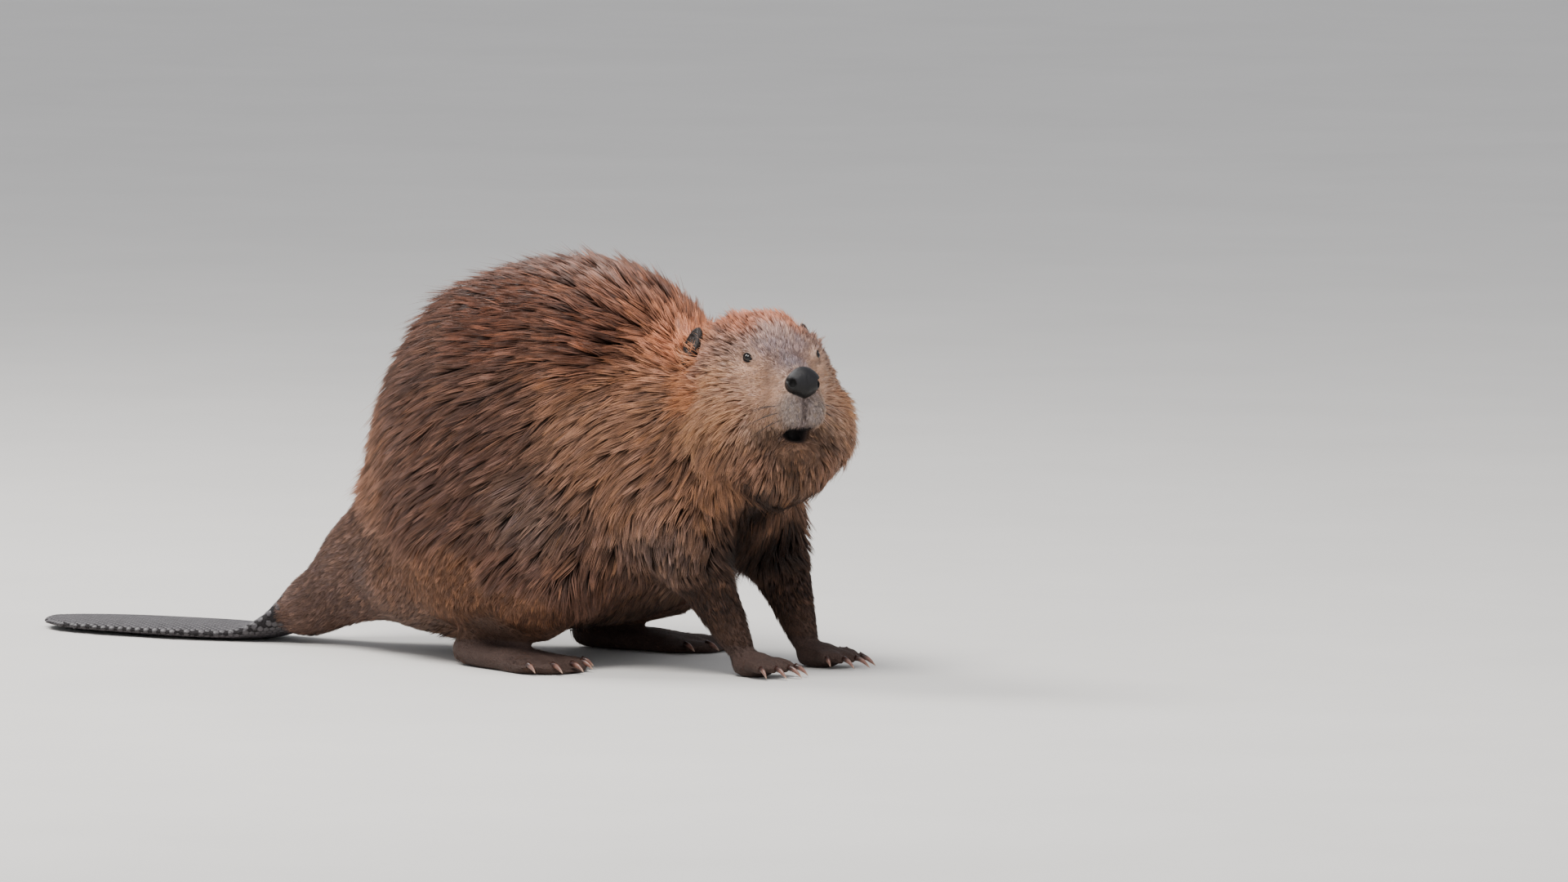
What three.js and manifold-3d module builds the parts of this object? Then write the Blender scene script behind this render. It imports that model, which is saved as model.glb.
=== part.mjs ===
// A beaver at life size, standing on all fours with an arched back, its head raised a little and
// turned to its right, and its flat tail laid out behind it. The surfaces are those of the coat's
// outer tips. Millimetres, +X forwards, +Y to the animal's left, +Z up, and the floor at z = 0.
import * as THREE from 'three';
import { mergeVertices } from 'three/addons/utils/BufferGeometryUtils.js';
import Module from 'manifold-3d';

const wasm = await Module();
wasm.setup();

// ---- driving dimensions ----------------------------------------------------------------------

const GAP = 0.3;              // between two solids that meet
const BACK_HEIGHT = 392;      // top of the arched back above the floor
const BODY_HALF_WIDTH = 150;  // at the flanks
const NOSE = [388, -95, 291]; // front of the nose pad
const HEAD_TURN = -33;        // degrees about +Z, to the animal's right
const HEAD_LIFT = 13;         // degrees, nose up
const EYE = { back: 60, up: 28, radius: 5.6, sunk: 5.0 };   // from the nose, along the head
const EAR = {
  back: 128, out: 64, up: 56, radii: [5, 13.5, 21],
  long: [0.5, -0.3, 0.81], face: [0.3, 0.93, 0.16],   // its long axis and the way it opens, on the left
};
const TAIL = { scales: -262, tip: -560, halfWidth: 60, thick: 17, neck: 40 };
const FOOT = { heel: [-6, 102], turnOut: 12 };
const WRIST = { x: 286, y: 56, z: 26 };
const ELBOW = { x: 236, y: 74, z: 126 };
const PAW_TURN = 6;           // degrees outwards

// ---- forms: functions of a point that are negative inside -------------------------------------

const rad = THREE.MathUtils.degToRad;
const vec = (p) => new THREE.Vector3(...p);

/** An ellipsoid, turned about Y (pitch) and then Z (yaw), in degrees. */
function ellipsoid(at, radii, pitch = 0, yaw = 0) {
  const toLocal = new THREE.Matrix4()
    .makeRotationFromEuler(new THREE.Euler(0, rad(pitch), rad(yaw), 'ZYX'))
    .setPosition(...at)
    .invert();
  const local = new THREE.Vector3();
  const scale = vec(radii);
  return (p) => {
    local.copy(p).applyMatrix4(toLocal).divide(scale);
    const share = local.length();
    const slope = local.divide(scale).length();
    return slope < 1e-9 ? -Math.min(...radii) : (share * (share - 1)) / slope;
  };
}

/** A round limb that tapers from one radius to the other. */
function limb(from, to, radiusFrom, radiusTo) {
  const start = vec(from);
  const along = vec(to).sub(start);
  const lengthSq = along.lengthSq();
  const local = new THREE.Vector3();
  return (p) => {
    const share = THREE.MathUtils.clamp(local.copy(p).sub(start).dot(along) / lengthSq, 0, 1);
    return local.addScaledVector(along, -share).length()
      - THREE.MathUtils.lerp(radiusFrom, radiusTo, share);
  };
}

/** Joins forms with a fillet of about the given size. */
function blend(fillet, ...forms) {
  return (p) => forms.reduce((near, form) => {
    const far = form(p);
    const mix = Math.max(fillet - Math.abs(near - far), 0) / fillet;
    return Math.min(near, far) - (mix * mix * fillet) / 4;
  }, 1e6);
}

/** The same form in a frame of its own. */
function inFrame(frame, form) {
  const toLocal = frame.clone().invert();
  const local = new THREE.Vector3();
  return (p) => form(local.copy(p).applyMatrix4(toLocal));
}

/** A frame at a point, turned about Z and then dipped nose down, in degrees. */
const frameAt = (x, y, z, turn, dip = 0) => new THREE.Matrix4()
  .makeRotationFromEuler(new THREE.Euler(0, rad(dip), rad(turn), 'ZYX'))
  .setPosition(x, y, z);

const reversed = ({ at, normal }) => ({ at, normal: normal.map((n) => -n) });

/** The same form, ended a little way beyond a plane. */
function upTo(plane, spare, form) {
  const end = new THREE.Plane()
    .setFromNormalAndCoplanarPoint(vec(plane.normal).normalize(), vec(plane.at));
  return (p) => Math.max(form(p), end.distanceToPoint(p) - spare);
}

const bothSides = (make) => [make(-1), make(1)];

// ---- meshing ----------------------------------------------------------------------------------

/** How far along a ray the form ends, starting inside it. */
function reach(from, direction, form, level = 0) {
  const p = new THREE.Vector3();
  const at = (r) => form(p.copy(from).addScaledVector(direction, r)) - level;
  let inner = 0;
  let outer = 1;
  while (at(outer) < 0 && outer < 600) {
    inner = outer;
    outer += Math.max(0.8, -0.5 * at(outer));
  }
  for (let i = 0; i < 16; i++) {
    const middle = (inner + outer) / 2;
    if (at(middle) < 0) inner = middle;
    else outer = middle;
  }
  return inner;
}

/** Moves each vertex of a thin geometry round the line from-to straight out to the form. */
function wrap(geometry, from, to, form, level = 0) {
  const line = new THREE.Line3(vec(from), vec(to));
  const position = geometry.attributes.position;
  const p = new THREE.Vector3();
  const root = new THREE.Vector3();
  for (let i = 0; i < position.count; i++) {
    p.fromBufferAttribute(position, i);
    line.closestPointToPoint(p, true, root);
    const direction = p.sub(root).normalize();
    const r = reach(root, direction, form, level);
    position.setXYZ(i, ...root.clone().addScaledVector(direction, r));
  }
  return geometry;
}

/** A form sampled from one point, with about 20 (detail + 1)^2 triangles. */
function ball(at, detail, form, level = 0) {
  const geometry = new THREE.IcosahedronGeometry(1, detail).translate(...at);
  return solid(wrap(geometry, at, at, form, level));
}

/** A form sampled from a line. */
function sleeve(from, to, [caps, round, long], form, level = 0) {
  const start = vec(from);
  const along = vec(to).sub(start);
  const geometry = new THREE.CapsuleGeometry(1, along.length(), caps, round, long)
    .applyQuaternion(new THREE.Quaternion().setFromUnitVectors(
      new THREE.Vector3(0, 1, 0), along.clone().normalize()))
    .translate(...start.addScaledVector(along, 0.5));
  return solid(wrap(geometry, from, to, form, level));
}

// ---- solids -----------------------------------------------------------------------------------

/** A closed geometry as a solid that can be joined and cut. */
function solid(geometry) {
  const bare = geometry.clone();
  bare.deleteAttribute('normal');
  bare.deleteAttribute('uv');
  const { attributes, index } = mergeVertices(bare, 1e-3);
  return new wasm.Manifold(new wasm.Mesh({
    numProp: 3,
    vertProperties: attributes.position.array,
    triVerts: new Uint32Array(index.array),
  }));
}

/** Everything on the side of a plane that its normal points to. */
function beyond(point, normal) {
  const size = 2000;
  const box = new THREE.BoxGeometry(size, size, size)
    .translate(0, 0, size / 2)
    .applyQuaternion(new THREE.Quaternion().setFromUnitVectors(
      new THREE.Vector3(0, 0, 1), vec(normal).normalize()))
    .translate(...point);
  return solid(box);
}

const ABOVE_FLOOR = beyond([0, 0, 0], [0, 0, 1]);

/** Cuts a solid by a plane into the piece behind it and the piece beyond it, with a gap between. */
function part(whole, { at, normal }) {
  const step = vec(normal).setLength(GAP / 2);
  return [
    whole.intersect(beyond(vec(at).sub(step).toArray(), reversed({ at, normal }).normal)),
    whole.intersect(beyond(vec(at).add(step).toArray(), normal)),
  ];
}

const MATERIALS = {
  coat: { color: 0x6b4433, roughness: 0.85 },
  coat_pale: { color: 0x8a6650, roughness: 0.85 },
  leg_coat: { color: 0x4a352b, roughness: 0.85 },
  foot_skin: { color: 0x3a302c, roughness: 0.6 },
  tail_scales: { color: 0x4c5057, roughness: 0.55 },
  ear_skin: { color: 0x2a2422, roughness: 0.8 },
  nose_skin: { color: 0x2b2a2d, roughness: 0.45 },
  eye: { color: 0x0f0c0a, roughness: 0.08 },
  claw: { color: 0x6d5049, roughness: 0.4 },
};
const materials = Object.fromEntries(Object.entries(MATERIALS).map(([name, look]) => [
  name, new THREE.MeshStandardMaterial({ name, metalness: 0, ...look })]));

const beaver = new THREE.Group();

/** Adds a solid to the model as a named mesh. */
function addNode(name, shape, material) {
  const { numProp, vertProperties, triVerts } = shape.getMesh();
  const count = vertProperties.length / numProp;
  const place = new Float32Array(count * 3);
  for (let i = 0; i < count; i++) place.set(vertProperties.subarray(i * numProp, i * numProp + 3), i * 3);
  const geometry = new THREE.BufferGeometry()
    .setAttribute('position', new THREE.BufferAttribute(place, 3))
    .setIndex(new THREE.BufferAttribute(triVerts, 1));
  geometry.computeVertexNormals();
  const mesh = new THREE.Mesh(geometry, materials[material]);
  mesh.name = name;
  beaver.add(mesh);
}

const sideName = (side) => (side < 0 ? 'right' : 'left');

// ---- trunk and neck ---------------------------------------------------------------------------

const NECK_BACK = { at: [236, -10, 256], normal: [0.85, -0.17, 0.46] };
const NECK_FRONT = { at: [276, -50, 248], normal: [0.78, -0.5, 0.36] };
const TAIL_CUT = { at: [-158, 0, 96], normal: [-0.86, 0, -0.5] };
const SPARE = 30;             // how far beyond its cut a form is sampled

const thigh = (side) => blend(30,
  ellipsoid([28, side * 98, 108], [92, 56, 84], 18),
  ellipsoid([88, side * 112, 80], [52, 42, 54]));
const shoulder = (side) => ellipsoid([200, side * 66, 190], [62, 48, 82], -20);
const neckForm = limb([176, 0, 226], [284, -31, 240], 80, 62);
const tailRootForm = blend(16,
  limb([-84, 0, 150], [-164, 0, 86], 82, 58),
  limb([-164, 0, 84], [TAIL.scales + 12, 0, 34], 57, 26),
  ellipsoid([TAIL.scales + 6, 0, 33], [44, 40, 25]),
  ellipsoid([-92, 0, 80], [84, 98, 66]));
const trunkForm = blend(40,
  ellipsoid([-28, 0, 186], [120, 132, 166]),
  ellipsoid([52, 0, BACK_HEIGHT - 178], [179, BODY_HALF_WIDTH - 6, 176]),
  ellipsoid([106, 0, 228], [100, 110, 150]),
  ellipsoid([70, 0, 132], [180, 126, 90], -6),
  ellipsoid([214, 0, 186], [84, 84, 90]),
  neckForm,
  tailRootForm,
  ...bothSides(thigh),
  ...bothSides(shoulder));

// ---- head -------------------------------------------------------------------------------------

const HEAD_DETAIL = 5;
const NOSE_DETAIL = 2;

const headFrame = new THREE.Matrix4()
  .makeRotationFromEuler(new THREE.Euler(0, rad(-HEAD_LIFT), rad(HEAD_TURN), 'ZYX'))
  .setPosition(...NOSE);
const inHead = (p) => vec(p).applyMatrix4(headFrame);

const cheek = (side) => ellipsoid([-94, side * 32, -31], [56, 53, 58]);
const whiskerPad = (side) => ellipsoid([-29, side * 12, -25], [20, 16, 19]);
const brow = (side) => ellipsoid([-70, side * 16, 30], [24, 15, 17]);
const temple = (side) => ellipsoid([-97, side * 34, 20], [42, 33, 37]);
const faceForm = blend(14,
  ellipsoid([-106, 0, 14], [64, 60, 67]),
  ellipsoid([-112, 0, 30], [52, 68, 54]),
  ellipsoid([-46, 0, -8], [34, 26, 29]),
  limb([-28, 0, 1], [-82, 0, 30], 18, 31),
  ...bothSides(cheek),
  ...bothSides(whiskerPad),
  ...bothSides(brow),
  ...bothSides(temple),
  ellipsoid([-48, 0, -64], [23, 24, 17]),
  ellipsoid([-82, 0, -66], [42, 60, 46]));
const headForm = inFrame(headFrame, faceForm);
const bodyForm = blend(30, headForm, trunkForm);
const HEAD_CENTRE = inHead([-84, 0, -4]).toArray();
const NOSE_ROOT = inHead([-11, 0, 0]).toArray();

/** The mouth: a slit under the upper lip, a little open. */
const mouth = solid(new THREE.IcosahedronGeometry(1, 2)
  .scale(20, 19, 3.4)
  .applyMatrix4(new THREE.Matrix4().makeRotationY(rad(8)))
  .translate(-30, 0, -49)
  .applyMatrix4(headFrame));

const noseForm = (grow) => inFrame(headFrame, blend(7,
  ellipsoid([-9, 0, 3], [11 + grow, 14 + grow, 13 + grow]),
  ellipsoid([-11, -10, 0], [10 + grow, 7.5 + grow, 9 + grow]),
  ellipsoid([-11, 10, 0], [10 + grow, 7.5 + grow, 9 + grow]),
  ellipsoid([-10, 0, -7], [8 + grow, 7 + grow, 8 + grow])));
const nostril = (side) => solid(new THREE.IcosahedronGeometry(1, 0)
  .scale(5.5, 3.2, 3.8)
  .applyMatrix4(new THREE.Matrix4().makeRotationZ(rad(side * 52)))
  .translate(-5, side * 14.2, -0.5)
  .applyMatrix4(headFrame));

/** Where the eye sits: on the form, straight out to the side, and sunk. */
function eyeCentre(side) {
  const start = inHead([-EYE.back, 0, EYE.up]);
  const out = vec([0.16, side, 0.1]).normalize().transformDirection(headFrame);
  return start.clone().addScaledVector(out, reach(start, out, bodyForm) - EYE.sunk);
}
const eyeball = (side, grow) => solid(new THREE.IcosahedronGeometry(EYE.radius + grow, 1)
  .translate(...eyeCentre(side)));

/** A rounded dish that stands up and out behind the cheek. */
function ear(side) {
  const [long, face] = [EAR.long, EAR.face].map(([x, y, z]) => vec([x, side * y, z]).normalize());
  const place = new THREE.Matrix4()
    .makeBasis(face, long.clone().cross(face), long)
    .setPosition(-EAR.back, side * EAR.out, EAR.up)
    .premultiply(headFrame);
  const [thick, wide, tall] = EAR.radii;
  const dish = solid(new THREE.IcosahedronGeometry(1, 2).scale(thick, wide, tall).applyMatrix4(place));
  const hollow = solid(new THREE.IcosahedronGeometry(1, 1)
    .scale(thick, wide * 0.74, tall * 0.76)
    .translate(thick * 0.75, 0, 3)
    .applyMatrix4(place));
  return dish.subtract(hollow);
}

// ---- parting the body -------------------------------------------------------------------------

const headEnd = upTo(reversed(NECK_FRONT), SPARE, bodyForm);
const trunkEnd = upTo(NECK_BACK, SPARE, upTo(TAIL_CUT, SPARE, bodyForm));
const neckEnd = upTo(NECK_FRONT, SPARE, upTo(reversed(NECK_BACK), SPARE, bodyForm));
const rootEnd = upTo(reversed(TAIL_CUT), SPARE, bodyForm);

const trunkAxis = [[-50, 0, 150], [170, 0, 212]];
const trunkMesh = [7, 28, 8];
const trunkWhole = sleeve(...trunkAxis, trunkMesh, trunkEnd).intersect(ABOVE_FLOOR);
const trunkGrown = sleeve(...trunkAxis, trunkMesh, trunkEnd, GAP);
const headGrown = ball(HEAD_CENTRE, HEAD_DETAIL, headEnd, GAP);
const neckAxis = [[238, -16, 252], [276, -36, 252]];
const neckMesh = [4, 28, 2];
const neckGrown = sleeve(...neckAxis, neckMesh, neckEnd, GAP);

let head = part(ball(HEAD_CENTRE, HEAD_DETAIL, headEnd), NECK_FRONT)[1]
  .subtract(ball(NOSE_ROOT, NOSE_DETAIL, noseForm(GAP)))
  .subtract(mouth);
let nose = ball(NOSE_ROOT, NOSE_DETAIL, noseForm(0));
for (const side of [-1, 1]) {
  head = head.subtract(eyeball(side, GAP));
  nose = nose.subtract(nostril(side));
  const clear = ear(side).subtract(headGrown).subtract(neckGrown).subtract(trunkGrown);
  addNode(`eye_${sideName(side)}`, eyeball(side, 0), 'eye');
  addNode(`ear_${sideName(side)}`, clear, 'ear_skin');
}
addNode('nose', nose, 'nose_skin');
addNode('head', head, 'coat_pale');

const neckWhole = sleeve(...neckAxis, neckMesh, neckEnd);
addNode('neck', part(part(neckWhole, NECK_BACK)[1], NECK_FRONT)[0], 'coat');

const ARM_RADII = [46, 34, 16];   // at the shoulder, the elbow and the wrist
const SHOULDER_FILLET = 30;

/** An arm that flows out of the trunk, with the frame of its paw and where it is cut. */
function arm(side) {
  const joint = [208, side * 66, 178];
  const elbow = [ELBOW.x, side * ELBOW.y, ELBOW.z];
  const wrist = [WRIST.x, side * WRIST.y, WRIST.z];
  const [big, middle, small] = ARM_RADII;
  const frame = frameAt(WRIST.x, side * WRIST.y, 0, side * PAW_TURN)
    .multiply(new THREE.Matrix4().makeScale(1, side, 1));
  const heelOfHand = vec([8, 0, 17]).applyMatrix4(frame).toArray();
  const bare = blend(16, limb(joint, elbow, big, middle), limb(elbow, wrist, middle, small));
  const trunkBelow = (p) => trunkForm(p) + 4;
  const flowing = blend(SHOULDER_FILLET, bare, trunkBelow);
  const near = limb(joint, wrist, big + SHOULDER_FILLET, small + 4);
  const form = (p) => Math.max(flowing(p), near(p));
  return {
    frame,
    whole: sleeve(joint, heelOfHand, [3, 14, 6], form).intersect(ABOVE_FLOOR),
    elbowCut: { at: elbow, normal: [0.42, 0, -0.9] },
    wristCut: { at: vec([-2, 0, 24]).applyMatrix4(frame).toArray(), normal: [0.62, 0, -0.78] },
  };
}

const thighCutter = (side, grow) => solid(new THREE.IcosahedronGeometry(1, 3)
  .scale(112 + grow, 66 + grow, 106 + grow)
  .translate(40, side * 132, 78));

const arms = Object.fromEntries(bothSides((side) => [side, arm(side)]));
let trunk = part(part(trunkWhole, NECK_BACK)[0], TAIL_CUT)[0];
for (const side of [-1, 1]) {
  trunk = trunk.add(part(part(arms[side].whole, arms[side].elbowCut)[0], NECK_BACK)[0]);
  addNode(`thigh_${sideName(side)}`, trunk.intersect(thighCutter(side, 0)), 'coat');
  trunk = trunk.subtract(thighCutter(side, GAP));
}
addNode('trunk', trunk, 'coat');

// ---- tail -------------------------------------------------------------------------------------

/** Half the width of the scaly tail at a share of its length: a narrow neck, a paddle, a round tip. */
function tailHalfWidth(share) {
  const paddle = THREE.MathUtils.lerp(TAIL.neck, TAIL.halfWidth, THREE.MathUtils.smoothstep(share, 0, 0.42));
  const tip = Math.sqrt(Math.max(0, 1 - Math.max(0, (share - 0.66) / 0.34) ** 2));
  return paddle * tip;
}

/** Height of the middle of the scaly tail: it comes down from the root and lies flat. */
const tailMiddle = (share) => TAIL.thick / 2 + 26 * Math.max(0, 1 - share / 0.2) ** 2;
const tailHalfThick = (share) => THREE.MathUtils.lerp(TAIL.thick / 2, 4.2, share)
  + 16 * Math.max(0, 1 - share / 0.2) ** 2;

/** The scaly tail: rings of a flat oval along its length, closed at both ends. */
function paddle() {
  const rings = 14;
  const round = 12;
  const geometry = new THREE.CylinderGeometry(1, 1, 1, round, rings);
  const position = geometry.attributes.position;
  for (let i = 0; i < position.count; i++) {
    const share = THREE.MathUtils.clamp(0.5 + position.getY(i), 0, 0.995);
    const y = position.getX(i) * tailHalfWidth(share);
    const z = tailMiddle(share) + position.getZ(i) * tailHalfThick(share);
    position.setXYZ(i, THREE.MathUtils.lerp(TAIL.scales, TAIL.tip, share), y, z - 1.2);
  }
  return solid(geometry);
}

const tailRoot = sleeve([-130, 0, 110], [TAIL.scales + 30, 0, 42], [3, 22, 5], rootEnd)
  .intersect(ABOVE_FLOOR)
  .intersect(beyond([TAIL.scales + GAP, 0, 0], [1, 0, 0]));
addNode('tail_root', part(tailRoot, TAIL_CUT)[1], 'leg_coat');
addNode('tail', paddle().intersect(ABOVE_FLOOR), 'tail_scales');

// ---- claws ------------------------------------------------------------------------------------

/** A curved claw: a cone along +X bent down, with its root at the frame's origin. */
function claw(frame, length, radius, droop, grow = 0) {
  const whole = length + grow * (1 + (1.4 * length) / radius);
  const geometry = new THREE.ConeGeometry(radius + 1.4 * grow, whole, 5, 2)
    .applyMatrix4(new THREE.Matrix4().makeRotationZ(-Math.PI / 2))
    .translate(whole / 2, 0, 0);
  const position = geometry.attributes.position;
  for (let i = 0; i < position.count; i++) {
    const share = position.getX(i) / whole;
    const fuller = 1 + 1.1 * share * (1 - share);
    const [y, z] = [position.getY(i) * fuller * 0.8, position.getZ(i) * fuller];
    position.setXYZ(i, position.getX(i) - grow, y, z - droop * share * share);
  }
  return solid(geometry.applyMatrix4(frame));
}

// ---- hind feet --------------------------------------------------------------------------------

// Each toe: its root across the foot, its turn, the length of its bones and its claw.
const TOES = [
  { across: -25, turn: -19, long: 44, claw: 13 },
  { across: -13, turn: -9, long: 58, claw: 15 },
  { across: 0, turn: -1, long: 66, claw: 17 },
  { across: 13, turn: 7, long: 62, claw: 17 },
  { across: 25, turn: 16, long: 48, claw: 15 },
];
const TOE_ROOT = 86;
const TOE_RADIUS = 7.6;

function toeTip({ across, turn, long }) {
  return [TOE_ROOT + long * Math.cos(rad(turn)), across + long * Math.sin(rad(turn)), 7.2];
}
const hindFootForm = blend(8,
  ellipsoid([16, 0, 15], [26, 18, 17]),
  ellipsoid([54, 0, 9], [52, 27, 13], 3),
  ellipsoid([112, 0, 3], [46, 43, 6]),
  ...TOES.map((toe) => limb([TOE_ROOT - 12, toe.across * 0.8, 11], toeTip(toe), TOE_RADIUS, 6)));

function addHindFoot(side) {
  const frame = frameAt(FOOT.heel[0], side * FOOT.heel[1], 0, side * FOOT.turnOut)
    .multiply(new THREE.Matrix4().makeScale(1, side, 1));
  const local = (p) => vec(p).applyMatrix4(frame).toArray();
  const heel = local([14, 0, 16]);
  const hock = local([40, -4, 74]);
  let foot = sleeve(local([22, 0, 13]), local([104, 0, 6]), [3, 22, 3], inFrame(frame, hindFootForm))
    .add(sleeve(heel, hock, [2, 10, 2], limb(heel, hock, 16, 24)))
    .intersect(ABOVE_FLOOR)
    .subtract(trunkGrown);
  TOES.forEach((toe, i) => {
    const [x, y, z] = toeTip(toe);
    const place = (grow) => claw(
      frameAt(...local([x, y, z + 1]), side * (FOOT.turnOut + toe.turn), 12), toe.claw, 4.2, 2.2, grow);
    foot = foot.subtract(place(GAP));
    addNode(`claw_hind_${sideName(side)}_${i + 1}`, place(0).intersect(ABOVE_FLOOR), 'claw');
  });
  addNode(`foot_hind_${sideName(side)}`, foot, 'foot_skin');
}
addHindFoot(-1);
addHindFoot(1);

// ---- forelegs and paws ------------------------------------------------------------------------

// Each finger: its root across the palm, its turn, its length and its claw.
const FINGERS = [
  { across: -15, turn: -34, long: 15, claw: 9 },
  { across: -11, turn: -15, long: 30, claw: 15 },
  { across: -1, turn: -3, long: 34, claw: 17 },
  { across: 9, turn: 8, long: 32, claw: 16 },
  { across: 16, turn: 24, long: 25, claw: 13 },
];
const FINGER_ROOT = 24;

function addForeleg(side) {
  const { whole, elbowCut, wristCut, frame } = arms[side];
  const turn = side * PAW_TURN;
  const local = (p) => vec(p).applyMatrix4(frame).toArray();
  const [shank, cuff] = part(part(whole, elbowCut)[1], wristCut);
  addNode(`foreleg_${sideName(side)}`, shank.subtract(trunkGrown), 'leg_coat');

  const palmForm = inFrame(frame, blend(8,
    ellipsoid([14, 0, 11], [24, 19, 13]),
    ellipsoid([26, 1, 11], [14, 20, 10])));
  let paw = ball(local([14, 0, 9]), 1, palmForm).add(cuff);
  const claws = [];
  FINGERS.forEach((finger, i) => {
    const [c, s] = [Math.cos(rad(finger.turn)), Math.sin(rad(finger.turn))];
    const at = (share, z) => local([
      FINGER_ROOT + finger.long * share * c, finger.across + finger.long * share * s, z]);
    const fingerForm = blend(4, limb(at(0, 12), at(0.6, 13), 7.2, 6.6), limb(at(0.6, 13), at(1, 8), 6.6, 5));
    paw = paw.add(sleeve(at(0.05, 12), at(0.9, 9.5), [1, 5, 2], fingerForm));
    const place = (grow) => claw(
      frameAt(...at(1, 9), turn + side * finger.turn, 16), finger.claw, 3.9, 3.4, grow);
    claws.push([`claw_fore_${sideName(side)}_${i + 1}`, place]);
  });
  paw = part(paw.intersect(ABOVE_FLOOR), wristCut)[1];
  for (const [name, place] of claws) {
    paw = paw.subtract(place(GAP));
    addNode(name, place(0).intersect(ABOVE_FLOOR), 'claw');
  }
  addNode(`forepaw_${sideName(side)}`, paw, 'foot_skin');
}
addForeleg(-1);
addForeleg(1);

// The origin is the middle of the model's box, on the floor.
const box = new THREE.Box3().setFromObject(beaver);
const centre = box.getCenter(new THREE.Vector3());
beaver.position.set(-centre.x, -centre.y, -box.min.z);

export default beaver;
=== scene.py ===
"""A beaver at life size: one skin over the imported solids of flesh, and a coat of solid mesh tufts.

The skin is a remesh of the flesh nodes, drawn in by the coat's depth. The coat's tracts (CoatTract) say
how the hair lies and looks at named places; every point of the body takes a blend of the nearest ones.
Lengths are in millimetres until a mesh is made, and the frame's metres are turned to millimetres first.
"""

import math
from collections import namedtuple

import bmesh
import bpy
import numpy as np
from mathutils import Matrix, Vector
from mathutils.bvhtree import BVHTree
from mathutils.kdtree import KDTree


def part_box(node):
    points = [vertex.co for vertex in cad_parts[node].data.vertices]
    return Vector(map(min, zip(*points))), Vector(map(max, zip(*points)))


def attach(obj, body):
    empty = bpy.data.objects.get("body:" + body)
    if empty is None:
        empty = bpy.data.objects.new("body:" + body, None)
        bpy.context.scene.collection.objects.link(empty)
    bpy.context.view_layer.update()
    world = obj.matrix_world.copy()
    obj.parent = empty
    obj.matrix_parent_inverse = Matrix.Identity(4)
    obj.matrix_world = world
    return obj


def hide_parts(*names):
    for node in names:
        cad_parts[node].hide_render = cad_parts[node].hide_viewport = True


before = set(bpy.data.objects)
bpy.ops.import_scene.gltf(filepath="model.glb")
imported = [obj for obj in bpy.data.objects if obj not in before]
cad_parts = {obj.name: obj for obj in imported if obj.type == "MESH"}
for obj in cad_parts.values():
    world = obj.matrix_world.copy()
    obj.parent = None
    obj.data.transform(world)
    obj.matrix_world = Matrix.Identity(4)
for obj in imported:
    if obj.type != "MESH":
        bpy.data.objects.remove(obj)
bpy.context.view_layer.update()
rng = np.random.default_rng(11)
MM = 0.001
SIDES = {"right": -1, "left": 1}
FLESH = ["head", "neck", "trunk", "tail_root", "tail", "nose"] + [
    f"{part}_{side}" for part in ("ear", "thigh", "foreleg", "forepaw", "foot_hind") for side in SIDES]


# ---- arrays ----

def unit(v):
    """Vectors at length one."""
    return v / np.maximum(np.linalg.norm(v, axis=-1, keepdims=True), 1e-9)


def smoothstep(low, high, x):
    """0 below low, 1 above high, smooth between."""
    t = np.clip((x - low) / (high - low), 0, 1)
    return t * t * (3 - 2 * t)


def mix(a, b, share):
    """A blend of two values or arrays of vectors."""
    share = share[:, None] if np.ndim(a) == 2 and np.ndim(share) == 1 else share
    return a + (b - a) * share


def hump(x, at, width):
    """1 where x is at, falling smoothly to 0 on both sides."""
    return np.exp(-((x - at) / width) ** 2)


def tangent(v, normal):
    """The part of a vector that lies in the surface, at length one."""
    return unit(v - normal * (v * normal).sum(-1, keepdims=True))


def node_box(node):
    """A node's lowest and highest corners, in millimetres."""
    low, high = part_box(node)
    return np.array(low) / MM, np.array(high) / MM


def read_triangles(data):
    """A mesh's points in millimetres, and its triangles."""
    data.calc_loop_triangles()
    points = np.empty(len(data.vertices) * 3, np.float32)
    data.vertices.foreach_get("co", points)
    triangles = np.empty(len(data.loop_triangles) * 3, np.int32)
    data.loop_triangles.foreach_get("vertices", triangles)
    return points.reshape(-1, 3).astype(float) / MM, triangles.reshape(-1, 3)


def node_arrays(node):
    """A node's points, those at one place welded, and its triangles."""
    points, triangles = read_triangles(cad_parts[node].data)
    _, first, index = np.unique(points.round(2), axis=0, return_index=True, return_inverse=True)
    triangles = index.ravel()[triangles]
    return points[first], triangles[(np.diff(np.sort(triangles, 1), axis=1) > 0).all(1)]


def joined(parts):
    """Points and faces of several meshes as one."""
    first = np.cumsum([0] + [len(points) for points, _ in parts])
    return (np.concatenate([points for points, _ in parts]),
            np.concatenate([faces + start for (_, faces), start in zip(parts, first)]))


def mirrored(v, side):
    """A vector given for the left, on either side."""
    return np.array(v, float) * [1, side, 1]


def vertex_normals(points, triangles):
    """Normals of a triangle mesh at its vertices."""
    a, b, c = (points[triangles[:, i]] for i in range(3))
    face = np.cross(b - a, c - a)
    total = np.stack([np.bincount(triangles.ravel(), np.repeat(face[:, i], 3), len(points))
                      for i in range(3)], 1)
    return unit(total)


def edge_list(triangles):
    """Each edge of a triangle mesh once."""
    pairs = np.concatenate([triangles[:, [0, 1]], triangles[:, [1, 2]], triangles[:, [2, 0]]])
    return np.unique(np.sort(pairs, 1), axis=0)


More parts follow.
